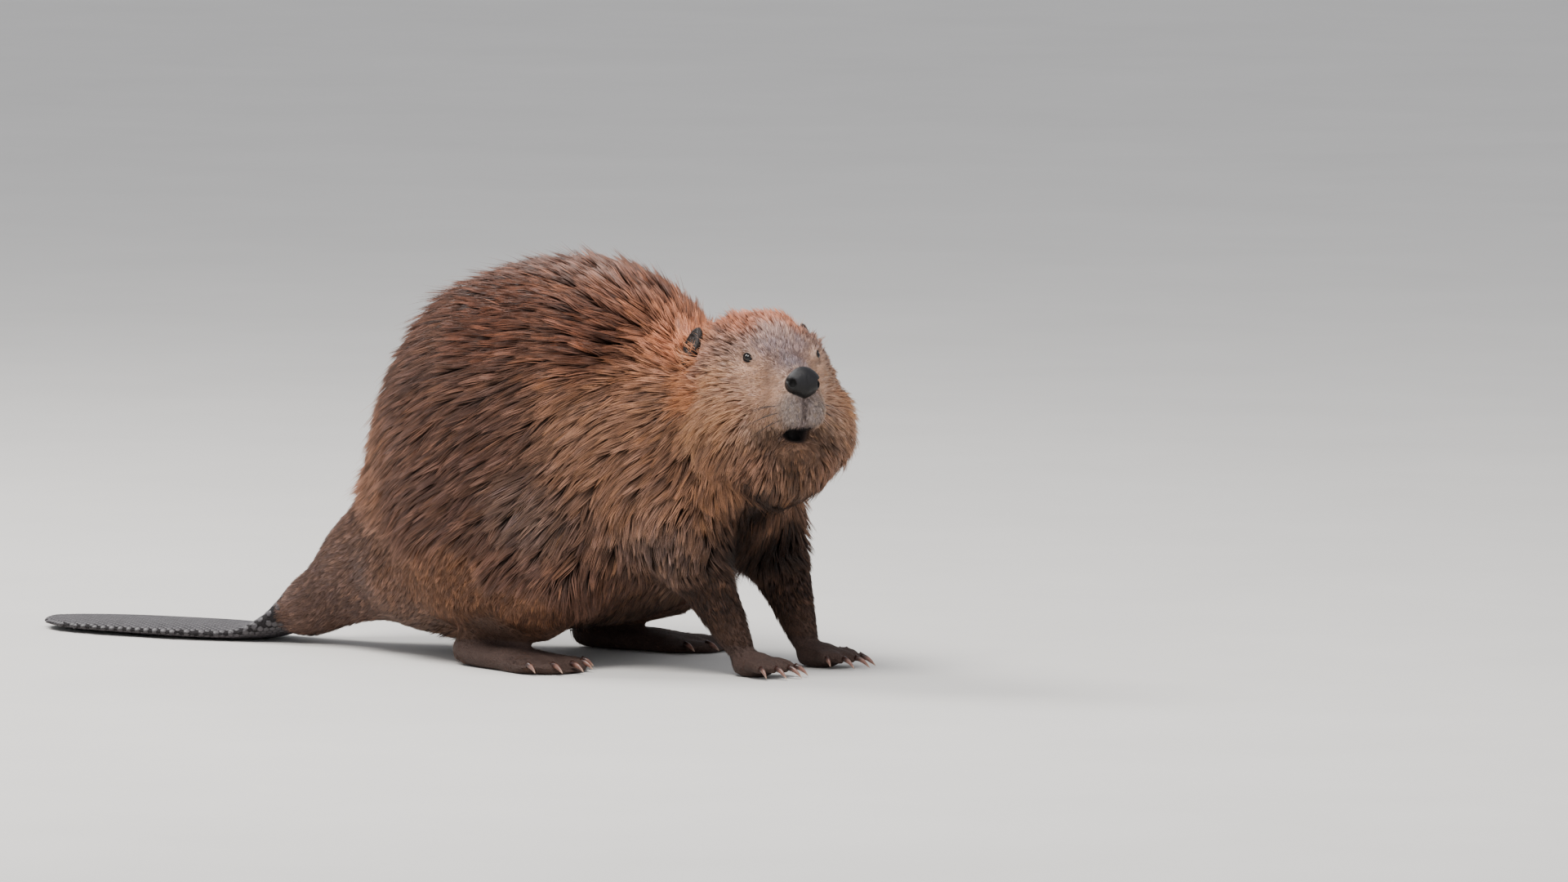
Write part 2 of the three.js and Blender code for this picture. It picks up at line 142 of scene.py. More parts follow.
def relax(points, edges, rounds, amount):
    """Moves each point towards the middle of its neighbours; amount may differ from point to point."""
    ends = np.concatenate([edges[:, 0], edges[:, 1]])
    others = np.concatenate([edges[:, 1], edges[:, 0]])
    count = np.maximum(np.bincount(ends, minlength=len(points)), 1)
    amount = np.broadcast_to(amount, len(points))[:, None]
    for _ in range(rounds):
        middle = np.stack([np.bincount(ends, points[others, i], len(points)) / count for i in range(3)], 1)
        points = points + (middle - points) * amount
    return points


# ---- the head's own frame and forms ----

# x forwards from the nose, y to the animal's left, z up, as in the solids.
HEAD_TURN = math.radians(-33)
HEAD_LIFT = math.radians(13)
NOSE_FRONT = 2     # that the pad reaches in front of the head's origin
NOSE_MIDDLE = 0.5  # height of the pad's middle in the head's frame


def head_axes():
    """The head's axes as rows, and its origin."""
    turn = np.array([[math.cos(HEAD_TURN), -math.sin(HEAD_TURN), 0],
                     [math.sin(HEAD_TURN), math.cos(HEAD_TURN), 0], [0, 0, 1]])
    lift = np.array([[math.cos(HEAD_LIFT), 0, -math.sin(HEAD_LIFT)], [0, 1, 0],
                     [math.sin(HEAD_LIFT), 0, math.cos(HEAD_LIFT)]])
    axes = (turn @ lift).T
    nose = node_arrays("nose")[0] @ axes.T
    low, high = nose.min(0), nose.max(0)
    origin = np.array([high[0] - NOSE_FRONT, (low[1] + high[1]) / 2, (low[2] + high[2]) / 2 - NOSE_MIDDLE])
    return axes, origin @ axes


HEAD_AXES, HEAD_ORIGIN = head_axes()


def to_head(points):
    """Points in the head's frame."""
    return (points - HEAD_ORIGIN) @ HEAD_AXES.T


def from_head(points):
    """Points of the head's frame in the world's."""
    return np.asarray(points, float) @ HEAD_AXES + HEAD_ORIGIN


def ellipsoid(p, at, radii):
    """Distance to an ellipsoid, about right near it and negative inside."""
    q = (p - at) / radii
    share = np.linalg.norm(q, axis=1)
    slope = np.maximum(np.linalg.norm(q / np.array(radii), axis=1), 1e-6)
    return share * (share - 1) / slope


def limb(p, start, end, radius_start, radius_end):
    """Distance to a round limb that tapers."""
    start, along = np.array(start, float), np.array(end, float) - start
    share = np.clip((p - start) @ along / (along @ along), 0, 1)
    return np.linalg.norm(p - start - share[:, None] * along, axis=1) - mix(radius_start, radius_end, share)


def blend(fillet, *fields):
    """Joins fields with a fillet."""
    near = fields[0]
    for far in fields[1:]:
        overlap = np.maximum(fillet - np.abs(near - far), 0) / fillet
        near = np.minimum(near, far) - overlap * overlap * fillet / 4
    return near


def carve(fillet, body, tool):
    """Cuts a field out of another with a fillet."""
    return -blend(fillet, -body, tool)


def face_form(p):
    """The head out to the coat's tips, in the head's frame, as its solid was made."""
    fields = [
        ellipsoid(p, [-106, 0, 14], [64, 60, 67]),
        ellipsoid(p, [-112, 0, 30], [52, 68, 54]),
        ellipsoid(p, [-46, 0, -8], [34, 26, 29]),
        limb(p, [-28, 0, 1], [-82, 0, 30], 18, 31),
        ellipsoid(p, [-48, 0, -64], [23, 24, 17]),
        ellipsoid(p, [-82, 0, -66], [42, 60, 46])]
    for side in SIDES.values():
        fields += [
            ellipsoid(p, [-94, side * 32, -31], [56, 53, 58]),
            ellipsoid(p, [-29, side * 12, -25], [20, 16, 19]),
            ellipsoid(p, [-70, side * 16, 30], [24, 15, 17]),
            ellipsoid(p, [-97, side * 34, 20], [42, 33, 37])]
    return blend(14, *fields)


NOSTRIL = [-4.6, 13.6, -1.2]
NOSTRIL_RADII = [6.0, 4.0, 3.9]   # into the pad, across and up
NOSTRIL_TURN = math.radians(50)
NOSTRIL_TAIL = ([-5, 15.6, -0.5], [-12, 16.8, 3.2], 2.0, 0.9)   # start, end and their radii
NOSE_GROOVE = ([3.4, 0, 9], [1.4, 0, -15], 1.2, 2.4)


def pad_form(p):
    """The nose pad without its openings."""
    return blend(6, ellipsoid(p, [-9, 0, 3], [10.4, 13.4, 12.2]), ellipsoid(p, [-10, 0, -6.5], [8, 7, 7.6]),
                 *(ellipsoid(p, [-11, side * 9.6, -0.5], [9.6, 7.2, 8.6]) for side in SIDES.values()))


def nose_form(p):
    """The nose pad with its comma-shaped nostrils and the shallow groove between them."""
    pad = pad_form(p)
    for side in SIDES.values():
        q = p - mirrored(NOSTRIL, side)
        along = q[:, 0] * math.cos(NOSTRIL_TURN) + q[:, 1] * side * math.sin(NOSTRIL_TURN)
        across = -q[:, 0] * side * math.sin(NOSTRIL_TURN) + q[:, 1] * math.cos(NOSTRIL_TURN)
        hole = ellipsoid(np.stack([along, across, q[:, 2]], 1), [0, 0, 0], NOSTRIL_RADII)
        start, end, *radii = NOSTRIL_TAIL
        tail = limb(p, mirrored(start, side), mirrored(end, side), *radii)
        pad = carve(1.4, pad, blend(1.5, hole, tail))
    return carve(1.6, pad, limb(p, *NOSE_GROOVE))


EAR = [-128, 60, 54.5]
EAR_RADII = [4.4, 12.4, 19.8]   # thick, wide and long
EAR_LONG = [0.5, -0.3, 0.81]    # its long axis and the way it opens, on the left
EAR_FACE = [0.12, 0.98, 0.16]
EAR_ROOT = ([-132, 57, 45], [-124, 43, 34], 7.6, 13)   # start, end and their radii
EAR_HOLLOW = 5.0
EAR_DISH = (10.5, 16, 2)        # the hollow's half width and half length, and its height on the ear
EAR_RIM = 1.7                   # thinnest part of the shell
EAR_FOOT = ([-126, 55, 42], 12)  # the ball round the ear's foot where its join is smoothed


def ear_axes(side):
    """Rows: the ear's face, width and long axis in the head's frame."""
    long, face = (unit(mirrored(v, side)) for v in (EAR_LONG, EAR_FACE))
    across = unit(np.cross(long, face))
    return np.stack([np.cross(across, long), across, long])


def ear_form(p, side):
    """The ear's shell without its hollow."""
    q = (p - mirrored(EAR, side)) @ ear_axes(side).T
    return ellipsoid(q, [0, 0, 0], EAR_RADII)


def ball(rows, columns):
    """Points of a unit ball with its poles on z, and its triangles."""
    tilt = np.linspace(0, math.pi, rows + 1)[1:-1]
    turn = np.linspace(0, 2 * math.pi, columns, endpoint=False)
    ring = np.stack([np.outer(np.sin(tilt), np.cos(turn)), np.outer(np.sin(tilt), np.sin(turn)),
                     np.outer(np.cos(tilt), np.ones(columns))], 2).reshape(-1, 3)
    points = np.concatenate([ring, [[0, 0, 1], [0, 0, -1]]])
    faces, top, bottom = [], len(ring), len(ring) + 1
    for k in range(columns):
        there = (k + 1) % columns
        faces += [(top, k, there), (bottom, top - columns + there, top - columns + k)]
        for row in range(0, top - columns, columns):
            a, b = row + k, row + there
            faces += [(a, a + columns, b + columns), (a, b + columns, b)]
    return points, np.array(faces)


def ear_shell(side):
    """A dish whose hollow looks the way the ear opens, and the root that joins it to the skull."""
    points, faces = ball(60, 72)
    wide, long, high = EAR_DISH
    q = points * EAR_RADII
    inner = np.hypot(q[:, 1] / wide, (q[:, 2] - high) / long)
    sunk = np.maximum(q[:, 0] - EAR_HOLLOW * smoothstep(1.05, 0.45, inner), -q[:, 0] + EAR_RIM)
    q[:, 0] = np.where(points[:, 0] > 0.2, np.minimum(q[:, 0], sunk), q[:, 0])
    shell = from_head(q @ ear_axes(side) + mirrored(EAR, side))
    start, end, *radii = EAR_ROOT
    start, end = mirrored(start, side), mirrored(end, side)
    ahead = points @ unit(end - start) > 0
    root = np.where(ahead[:, None], end, start) + points * np.where(ahead, radii[1], radii[0])[:, None]
    return (shell, faces), (from_head(root), faces)


CLEFT = [(-8.5, -15), (-11.5, -27), (-17, -38), (-25, -45)]   # x and z down from the nose to the mouth
CLEFT_ENDS = (-13, -17, -42, -50)   # heights between which the groove comes in below the nose and runs out
CLEFT_DEPTH = 3.4
CLEFT_WIDTH = 2.4
MOUTH_TOP = -43.5          # height of the upper lip's edge in the middle
MOUTH_SIZE = (13.0, 10.5)  # the opening's half width, and its height in the middle
MOUTH_DEPTH = 8.5
LIP_BEND = 0.012           # how the lip's edge rises with the square of the distance from the middle
LIP_SOFT = 2.4             # height over which the edge rounds off upwards
LOBE = (8.5, 5.5, 5.0)     # the upper lip's swelling: its place and reach across, and its height and reach
LOBE_OUT = 1.8
CORNER_RISE = 0.3          # slope of the fold that runs on from each corner
CORNER_DEPTH = 1.6
CORNER_UP = 1.5            # height over the lips' edge at which the fold starts
CORNER_WIDTH = 1.7
CORNER_FADE = ((-5, 0), (14, 6))   # past the mouth's end, where the fold comes in and fades out
LIPS_BACK = -58            # x behind which no lip is shaped
MOUTH_ZONE = ((LIPS_BACK, -32, -64), (20, 32, -12))   # box in the head's frame that the mouth's shape fills
FAR = 9                    # added to a share where it has no meaning


def lip_share(p):
    """0 at the middle of the upper lip's edge, 1 at the rim of the open mouth, more outside."""
    wide, high = MOUTH_SIZE
    down = MOUTH_TOP - p[:, 2] + LIP_BEND * p[:, 1] ** 2
    down = np.where(down > 0, down / high, down / LIP_SOFT)
    return np.hypot(p[:, 1] / wide, down) + FAR * (p[:, 0] < LIPS_BACK)


def corner_share(p):
    """1 in the fold at each corner of the mouth."""
    out = np.abs(p[:, 1]) - MOUTH_SIZE[0]
    off = p[:, 2] - MOUTH_TOP - CORNER_UP - CORNER_RISE * out
    start, end = (smoothstep(*fade, out) for fade in CORNER_FADE)
    return hump(off, 0, CORNER_WIDTH) * start * end * (p[:, 0] > LIPS_BACK)


def cleft_form(p):
    """Distance to the cleft that runs from the nose down to the mouth."""
    parts = [limb(p, [a[0], 0, a[1]], [b[0], 0, b[1]], 0.6, 1.0) for a, b in zip(CLEFT, CLEFT[1:])]
    return np.min(parts, axis=0)


def shape_mouth(points):
    """Pushes the mouth in under the upper lip, with the cleft above it and a fold at each corner."""
    h = to_head(points)
    low, high = MOUTH_ZONE
    near = np.flatnonzero(((h > low) & (h < high)).all(1))
    p = h[near]
    y, z = p[:, 1], p[:, 2]
    above, top, bottom, below = CLEFT_ENDS
    out, reach, rise = LOBE
    dent = MOUTH_DEPTH * (1 - smoothstep(0.5, 1.08, lip_share(p)))
    cleft = CLEFT_DEPTH * hump(y, 0, CLEFT_WIDTH) * smoothstep(above, top, z) * smoothstep(below, bottom, z)
    lobes = LOBE_OUT * hump(np.abs(y), out, reach) * hump(z - MOUTH_TOP, rise, rise)
    p[:, 0] += lobes - np.maximum(dent, cleft) - CORNER_DEPTH * corner_share(p)
    points[near] = from_head(p)
    return points


# ---- tracts of the coat ----

# Hair colours at the root and at the tip, as display values from 0 to 255. The dark roots are partly the
# hair's own dark under-part and partly painted shade between the locks.
TONES = {
    "chestnut": [(27, 13, 8), (128, 79, 58)],
    # tips far lighter than the back's: painted light of the back light glowing through the hair, over the
    # hair's own tone
    "rump_backlit_glow": [(92, 51, 37), (255, 180, 140)],
    "crown": [(84, 44, 28), (228, 140, 98)],
    "temple": [(68, 47, 40), (184, 138, 117)],
    "dark_brown": [(15, 8, 5), (142, 103, 87)],
    "brown": [(32, 18, 13), (188, 139, 112)],
    "shoulder": [(40, 24, 17), (206, 155, 125)],
    "grey_brown": [(21, 13, 10), (160, 128, 113)],
    "short_brown": [(56, 34, 24), (162, 116, 88)],
    "root_brown": [(58, 42, 35), (140, 110, 98)],
    "orange": [(112, 66, 42), (226, 152, 105)],
    "mauve": [(106, 83, 77), (208, 173, 160)],
    "mauve_grey": [(90, 74, 74), (162, 139, 138)],
    "tan": [(46, 27, 18), (200, 147, 114)],
    "golden": [(110, 67, 44), (255, 196, 150)],
    "pale": [(170, 130, 108), (252, 210, 180)],
    "lip": [(56, 47, 45), (196, 178, 168)],
    "chin": [(40, 25, 18), (146, 108, 84)],
    # nearly black: painted shade under the chin and down the throat
    "throat_shade": [(7, 4, 3), (46, 30, 23)],
    "leg": [(26, 16, 12), (86, 62, 50)],
    "belly": [(44, 31, 25), (126, 102, 88)],
    "ear": [(14, 10, 9), (50, 38, 34)],
    "bridge": [(72, 58, 60), (126, 108, 110)],
    "brow": [(80, 57, 47), (178, 143, 127)],
    # the next two: darker hair in the cleft and at the mouth's corners, painted shade in those grooves
    "cleft": [(22, 16, 18), (128, 112, 112)],
    "corner": [(20, 13, 10), (128, 98, 80)],
}

# at: place; lie: the way the hair points; length, depth: of the hair and of the coat; lift: degrees off
# the skin at the root; gap: between tufts; wide: a tuft's width; clump: how far tips draw together.
CoatTract = namedtuple("CoatTract", "at lie length depth lift gap wide clump tone")
TRUNK_LOW, TRUNK_HIGH = node_box("trunk")


def on_trunk(x, y, z):
    """A place by shares of the trunk's box: x and z from 0 to 1, y from -1 at the right to 1 at the left."""
    middle, half = (TRUNK_LOW + TRUNK_HIGH) / 2, (TRUNK_HIGH - TRUNK_LOW) / 2
    return middle + half * [2 * x - 1, y, 2 * z - 1]


HAIR_START = (-4, 0, -6)   # the place in the nose that the face's hair points away from


def head_lie(at, down):
    """The hair of the face points away from the nose, and hangs where down is more."""
    away = unit(at - HAIR_START)
    return unit(away @ HEAD_AXES + [0, 0, -down])


def coat_tracts():
    """Every tract, those beside the middle once on each side."""
    tracts = []

    def trunk(x, y, z, lie, *look):
        for side in ((-1, 1) if y else (1,)):
            tracts.append(CoatTract(on_trunk(x, side * y, z), unit(mirrored(lie, side)), *look))

    def head(x, y, z, down, *look):
        for side in ((-1, 1) if y else (1,)):
            at = mirrored((x, y, z), side)
            tracts.append(CoatTract(from_head(at), head_lie(at, down), *look))

    def near(node, x, y, z, lie, *look):
        low, high = node_box(node)
        tracts.append(CoatTract(low + (high - low) * [x, y, z], unit(np.array(lie, float)), *look))

    # Each row: where, which way, then length, depth, lift, gap, wide, clump and tone.
    trunk(0.50, 0.00, 1.00, (-1, 0, 0.00), 40, 15, 35, 2.8, 1.2, 0.80, "chestnut")
    trunk(0.25, 0.00, 0.93, (-1, 0, -0.3), 40, 15, 42, 2.8, 1.2, 0.80, "chestnut")
    # the rump's tips are painted light: painted light of the back light through the hair
    trunk(0.08, 0.00, 0.70, (-0.7, 0, -1), 42, 15, 40, 2.8, 1.2, 0.80, "rump_backlit_glow")
    trunk(0.03, 0.40, 0.50, (-0.6, 0, -1), 42, 14, 34, 2.8, 1.2, 0.80, "rump_backlit_glow")
    trunk(0.75, 0.00, 0.95, (-1, 0, 0.2), 40, 15, 32, 2.8, 1.2, 0.80, "chestnut")
    trunk(0.50, 0.60, 0.86, (-1, 0, -0.34), 42, 14, 24, 2.8, 1.25, 0.85, "chestnut")
    trunk(0.72, 0.55, 0.82, (-1, 0, -0.36), 40, 14, 24, 2.8, 1.25, 0.85, "chestnut")
    trunk(0.30, 0.70, 0.76, (-1, 0, -0.60), 42, 14, 22, 2.8, 1.25, 0.86, "dark_brown")
    trunk(0.52, 0.90, 0.62, (-1, 0, -0.68), 44, 14, 20, 2.85, 1.3, 0.88, "dark_brown")
    trunk(0.75, 0.80, 0.62, (-1, 0, -0.76), 42, 14, 22, 2.8, 1.25, 0.86, "shoulder")
    trunk(0.12, 0.70, 0.50, (-0.8, 0, -1.0), 42, 14, 22, 2.8, 1.25, 0.84, "brown")
    trunk(0.35, 0.98, 0.42, (-1, 0, -1.00), 44, 14, 20, 2.85, 1.3, 0.88, "dark_brown")
    trunk(0.62, 0.98, 0.40, (-1, 0, -1.15), 46, 14, 20, 2.85, 1.3, 0.88, "grey_brown")
    trunk(0.70, 0.90, 0.22, (-0.7, 0, -1.1), 42, 13, 20, 3.0, 1.45, 0.86, "dark_brown")
    trunk(0.86, 0.72, 0.46, (-0.75, 0, -1.0), 42, 14, 22, 2.8, 1.25, 0.86, "shoulder")
    # nearly black hair here: painted shade under the head
    trunk(0.97, 0.30, 0.32, (-0.1, 0, -1.0), 36, 13, 22, 3.1, 1.45, 0.8, "throat_shade")
    trunk(0.86, 0.00, 0.14, (-0.7, 0, -0.7), 24, 9, 16, 3.6, 1.5, 0.6, "belly")
    trunk(0.55, 0.00, 0.02, (-1, 0, 0.0), 18, 7, 14, 4.0, 1.7, 0.5, "belly")
    trunk(0.20, 0.00, 0.02, (-1, 0, 0.0), 18, 6, 14, 4.0, 1.7, 0.5, "belly")
    trunk(0.10, 0.66, 0.18, (-0.6, 0, -1.0), 26, 8, 14, 3.0, 1.35, 0.7, "brown")
    for side in SIDES:
        out = SIDES[side]
        outer = (1 + out) / 2
        near(f"thigh_{side}", 0.45, outer, 0.90, (-0.9, 0, -1.0), 46, 14, 20, 2.85, 1.3, 0.88, "dark_brown")
        near(f"thigh_{side}", 0.75, outer, 0.62, (-0.9, 0, -1.0), 40, 12, 20, 2.9, 1.45, 0.86, "dark_brown")
        near(f"thigh_{side}", 0.45, outer, 0.45, (-0.5, 0, -1.0), 15, 3.6, 14, 2.3, 1.0, 0.6, "short_brown")
        near(f"thigh_{side}", 0.80, outer, 0.22, (-0.5, 0, -1.0), 15, 3.6, 14, 2.3, 1.0, 0.6, "short_brown")
        near(f"thigh_{side}", 0.15, outer, 0.30, (-0.5, 0, -1.0), 15, 3.6, 14, 2.3, 1.0, 0.6, "short_brown")
        near(f"foreleg_{side}", 0.30, outer, 0.95, (0.1, 0, -1.0), 20, 7, 14, 2.7, 1.3, 0.7, "grey_brown")
        near(f"foreleg_{side}", 0.62, 0.5, 0.45, (0.5, 0, -1.0), 10, 2.2, 12, 2.2, 0.9, 0.5, "leg")
        near(f"foreleg_{side}", 0.85, 0.5, 0.05, (0.5, 0, -1.0), 6, 1.1, 12, 1.9, 0.75, 0.4, "leg")
        near(f"forepaw_{side}", 0.60, 0.5, 0.50, (1.0, 0, -0.3), 3.6, 0.55, 10, 1.8, 0.6, 0.3, "leg")
        near(f"foot_hind_{side}", 0.40, 0.5, 0.70, (1.0, 0, -0.3), 4.2, 0.55, 10, 2.0, 0.7, 0.3, "leg")
        near(f"foot_hind_{side}", 0.80, 0.5, 0.30, (1.0, 0, -0.2), 3.6, 0.55, 10, 2.0, 0.7, 0.3, "leg")
        near("tail_root", 0.80, 0.5 + out * 0.5, 0.55, (-1, out * -0.2, -0.7), 18, 4.5, 11, 2.2, 0.95, 0.6,
             "root_brown")
        near("tail_root", 0.35, 0.5 + out * 0.4, 0.30, (-1, out * -0.1, -0.5), 12, 2.2, 9, 2.0, 0.8, 0.5,
             "root_brown")
        near("tail", 0.50, 0.5 + out * 0.4, 0.1, (-1, 0, 0), 4, 0.5, 10, 3.0, 0.8, 0.3, "root_brown")
    near("tail_root", 0.75, 0.5, 0.85, (-1, 0, -0.9), 18, 4.5, 11, 2.2, 0.95, 0.6, "root_brown")
    near("tail_root", 0.25, 0.5, 0.42, (-1, 0, -0.5), 12, 2.2, 9, 2.0, 0.8, 0.5, "root_brown")
    near("tail", 0.97, 0.5, 0.7, (-1, 0, -0.4), 5, 1, 10, 2.6, 0.8, 0.3, "root_brown")
    head(-168, 0, 40, 0.0, 38, 15, 42, 2.6, 1.2, 0.75, "crown")
    head(-140, 40, 55, 0.0, 34, 14, 42, 2.4, 1.15, 0.75, "crown")
    head(-150, 62, 0, 0.5, 38, 14, 30, 2.7, 1.25, 0.80, "shoulder")
    head(-130, 70, -45, 1.0, 40, 15, 24, 2.7, 1.25, 0.84, "brown")
    head(-108, 0, 80, 0.0, 28, 14, 46, 2.2, 0.95, 0.75, "crown")
    head(-102, 34, 72, 0.0, 27, 13, 47, 2.2, 1.0, 0.72, "crown")
    head(-88, 0, 76, 0.0, 24, 12.5, 44, 2.2, 1.0, 0.72, "crown")
    head(-86, 26, 70, 0.0, 24, 11, 44, 2.1, 0.95, 0.65, "crown")
    head(-74, 0, 67, 0.0, 15, 7.5, 36, 1.8, 0.8, 0.55, "crown")
    head(-73, 22, 61, 0.0, 14, 6.5, 32, 1.7, 0.75, 0.5, "crown")
    head(-61, 8, 54, 0.0, 9, 4.6, 22, 1.5, 0.65, 0.42, "mauve")
    head(-50, 0, 40, 0.0, 6, 3.4, 16, 1.35, 0.55, 0.35, "mauve_grey")
    head(-30, 0, 22, 0.0, 4, 2.2, 12, 1.15, 0.5, 0.25, "bridge")
    head(-54, 20, 42, 0.0, 6, 3.2, 16, 1.35, 0.55, 0.35, "mauve_grey")
    head(-58, 34, 24, 0.1, 3.0, 1.4, 14, 1.1, 0.5, 0.2, "pale")
    head(-60, 30, 44, 0.1, 6.0, 3.2, 18, 1.3, 0.6, 0.35, "brow")
    head(-66, 38, 34, 0.1, 7.0, 3.4, 20, 1.4, 0.65, 0.4, "brow")
    head(-80, 46, 46, 0.1, 18, 8, 38, 1.9, 0.85, 0.60, "temple")
    head(-92, 54, 30, 0.15, 22, 9.5, 38, 2.0, 0.95, 0.62, "temple")
    head(-108, 52, 56, 0.0, 30, 14, 40, 1.9, 1.1, 0.70, "orange")
    head(-112, 58, 42, 0.1, 30, 14, 38, 1.9, 1.1, 0.70, "orange")
    head(-112, 62, 26, 0.3, 30, 13, 30, 2.0, 1.15, 0.65, "orange")
    head(-108, 64, 8, 0.4, 28, 13, 26, 2.2, 1.25, 0.70, "orange")
    head(-78, 50, 14, 0.22, 21, 7.5, 40, 1.8, 0.9, 0.58, "golden")
    head(-48, 32, 4, 0.2, 6.5, 3.4, 18, 1.35, 0.6, 0.35, "pale")
    head(-30, 24, -8, 0.2, 4.5, 2.4, 18, 1.2, 0.5, 0.25, "pale")
    head(-14, 14, -24, 0.3, 4.2, 2.2, 18, 1.15, 0.5, 0.3, "lip")
    head(-34, 28, -30, 0.4, 6.5, 3.6, 22, 1.3, 0.6, 0.35, "pale")
    head(-12, 8, -34, 0.8, 4.2, 2.0, 22, 1.15, 0.5, 0.35, "lip")
    head(-14, 0, -24, 0.9, 3.4, 1.4, 18, 1.15, 0.5, 0.35, "cleft")
    head(-20, 0, -36, 0.9, 4.0, 1.4, 18, 1.15, 0.5, 0.35, "cleft")
    head(-45, 25, -44, 0.6, 7.5, 3.4, 22, 1.3, 0.6, 0.40, "corner")
    head(-60, 52, -18, 0.40, 22, 8.5, 41, 1.8, 0.9, 0.62, "golden")
    head(-90, 76, -20, 0.50, 31, 13, 42, 2.2, 1.15, 0.72, "golden")
    head(-118, 74, -20, 0.7, 36, 14, 33, 2.5, 1.25, 0.78, "tan")
    head(-74, 64, -50, 0.8, 31, 12, 42, 2.2, 1.15, 0.72, "tan")
    head(-100, 62, -72, 1.1, 38, 14, 26, 2.5, 1.3, 0.80, "tan")
    head(-28, 16, -62, 0.6, 7, 3.6, 22, 1.45, 0.7, 0.40, "chin")
    head(-28, 0, -60, 0.5, 5.5, 2.4, 24, 1.3, 0.6, 0.40, "chin")
    head(-28, 0, -76, 0.8, 12, 5, 26, 1.6, 0.8, 0.50, "chin")
    head(-50, 36, -66, 0.8, 20, 8, 28, 1.9, 1.0, 0.62, "brown")
    head(-50, 0, -88, 1.2, 26, 10, 28, 2.2, 1.15, 0.75, "chin")
    # the next four: nearly black hair, painted shade under the chin
    head(-60, 0, -106, 1.4, 34, 11, 26, 2.3, 1.2, 0.78, "throat_shade")
    head(-68, 34, -98, 1.4, 36, 12, 26, 2.3, 1.2, 0.78, "throat_shade")
    head(-90, 30, -100, 1.6, 40, 14, 26, 2.6, 1.35, 0.82, "throat_shade")
    head(-120, 0, -100, 1.6, 40, 14, 26, 2.7, 1.35, 0.82, "throat_shade")
    return tracts


TRACTS = coat_tracts()
TRACT_AT = np.array([t.at for t in TRACTS])
TRACT_LIE = np.array([t.lie for t in TRACTS])
TRACT_LOOK = np.array([t[2:8] for t in TRACTS])
LOOKS = ("length", "depth", "lift", "gap", "wide", "clump")


def linear(rgb):
    """Display values from 0 to 255 as linear light."""
    v = np.array(rgb, float) / 255
    return np.where(v <= 0.04045, v / 12.92, ((v + 0.055) / 1.055) ** 2.4)


TRACT_ROOT = np.array([linear(TONES[t.tone][0]) for t in TRACTS])
TRACT_TIP = np.array([linear(TONES[t.tone][1]) for t in TRACTS])


BATCH = 20000      # points worked on at a time
TRACT_CORE = 100   # square of the distance within which a tract holds nearly alone
TRACT_FALL = 2.2


def tract_shares(points):
    """How much of each tract a point takes."""
    shares = np.empty((len(points), len(TRACTS)), np.float32)
    for start in range(0, len(points), BATCH):
        part = points[start:start + BATCH]
        square = ((part[:, None] - TRACT_AT[None]) ** 2).sum(2)
        shares[start:start + BATCH] = 1 / (square + TRACT_CORE) ** TRACT_FALL
    return shares / shares.sum(1, keepdims=True)


EAR_LOOK = dict(zip(LOOKS, (5.5, 0.8, 14, 1.15, 0.75, 0.3)))
EAR_LIE = (-0.5, 0.0, 0.9)   # in the head's frame


def coat_at(points):
    """The blended look, lie and colours of the tracts at each point."""
    shares = tract_shares(points)
    look = dict(zip(LOOKS, (shares @ TRACT_LOOK).T))
    look["lie"] = shares @ TRACT_LIE
    look["root"] = shares @ TRACT_ROOT
    look["tip"] = shares @ TRACT_TIP
    return look


SHORT_LOOK = dict(zip(LOOKS, (9.5, 2.6, 13, 1.8, 0.85, 0.45)))
EDGE_X = [-400, -60, 0, 63, 200, 250, 270]   # the edge between the flank's long hair and the short hair
EDGE_Z = [176, 160, 128, 102, 86, 60, -20]
EDGE_FADE = 7
EDGE_WAVE = (5, 13)      # height of the edge's waves, and their length over two pi


def short_share(points):
    """1 on the thighs and the tail's root, below the edge where the flank's long hair ends."""
    x, y, z = points.T
    high, long = EDGE_WAVE
    under = z - np.interp(x, EDGE_X, EDGE_Z) - high * np.sin(x / long)
    below_belly = (np.abs(y) < 60) & (x > 20)
    return (1 - smoothstep(-EDGE_FADE, EDGE_FADE, under)) * ~below_belly


def hair_at(points):
    """The look of the hair itself: as coat_at, but short on the thighs and tail root and on the ears."""
    look = coat_at(points)
    short, ears = short_share(points), ear_share(points)
    for key in LOOKS:
        least = np.minimum(look[key], SHORT_LOOK[key])
        look[key] = mix(mix(look[key], least, short), EAR_LOOK[key], ears)
    look["lie"] = mix(look["lie"], (np.array(EAR_LIE) @ HEAD_AXES)[None], ears)
    look["root"] = mix(look["root"], linear(TONES["ear"][0])[None], ears)
    look["tip"] = mix(look["tip"], linear(TONES["ear"][1])[None], ears)
    return look


# ---- eyes: where they are and how their lids open ----

Eye = namedtuple("Eye", "centre radius axis across up")
EYE_WAY = (0.52, 0.84, 0.12)   # forwards, outwards and up from the head
EYE_INSET = 0.5                # that the ball is smaller than its solid
LID_OPEN = (4.5, 3.8)    # half the opening, across and up
LID_SLANT = 0.14
LID_THICK = 0.65
LID_EDGE = 5.0           # distance from the eye's axis where the lid leaves the ball
LID_SLOPE = 0.9          # its slope from there
LID_REACH = (5.6, 10.5)  # distances from the eye's axis between which the lids run out into the skin
LID_RIM = (0.45, 1.22, 0.14)      # the swollen rim: height, place and width, by shares of the opening
LID_CREASE = (0.3, 1.55, 0.12)    # the crease round it, deeper by CREASE_MORE in the upper lid
CREASE_MORE = 0.5
UPPER_LID = 0.4          # that the upper lid stands over the lower one
LID_HIDDEN = 1.7         # that the skin in the opening lies behind the ball
LID_NEAR = 9             # distance from the eye past which there is no lid
LID_ZONE = (15, -4)      # distance from the eye, and how far behind its middle the lids are shaped


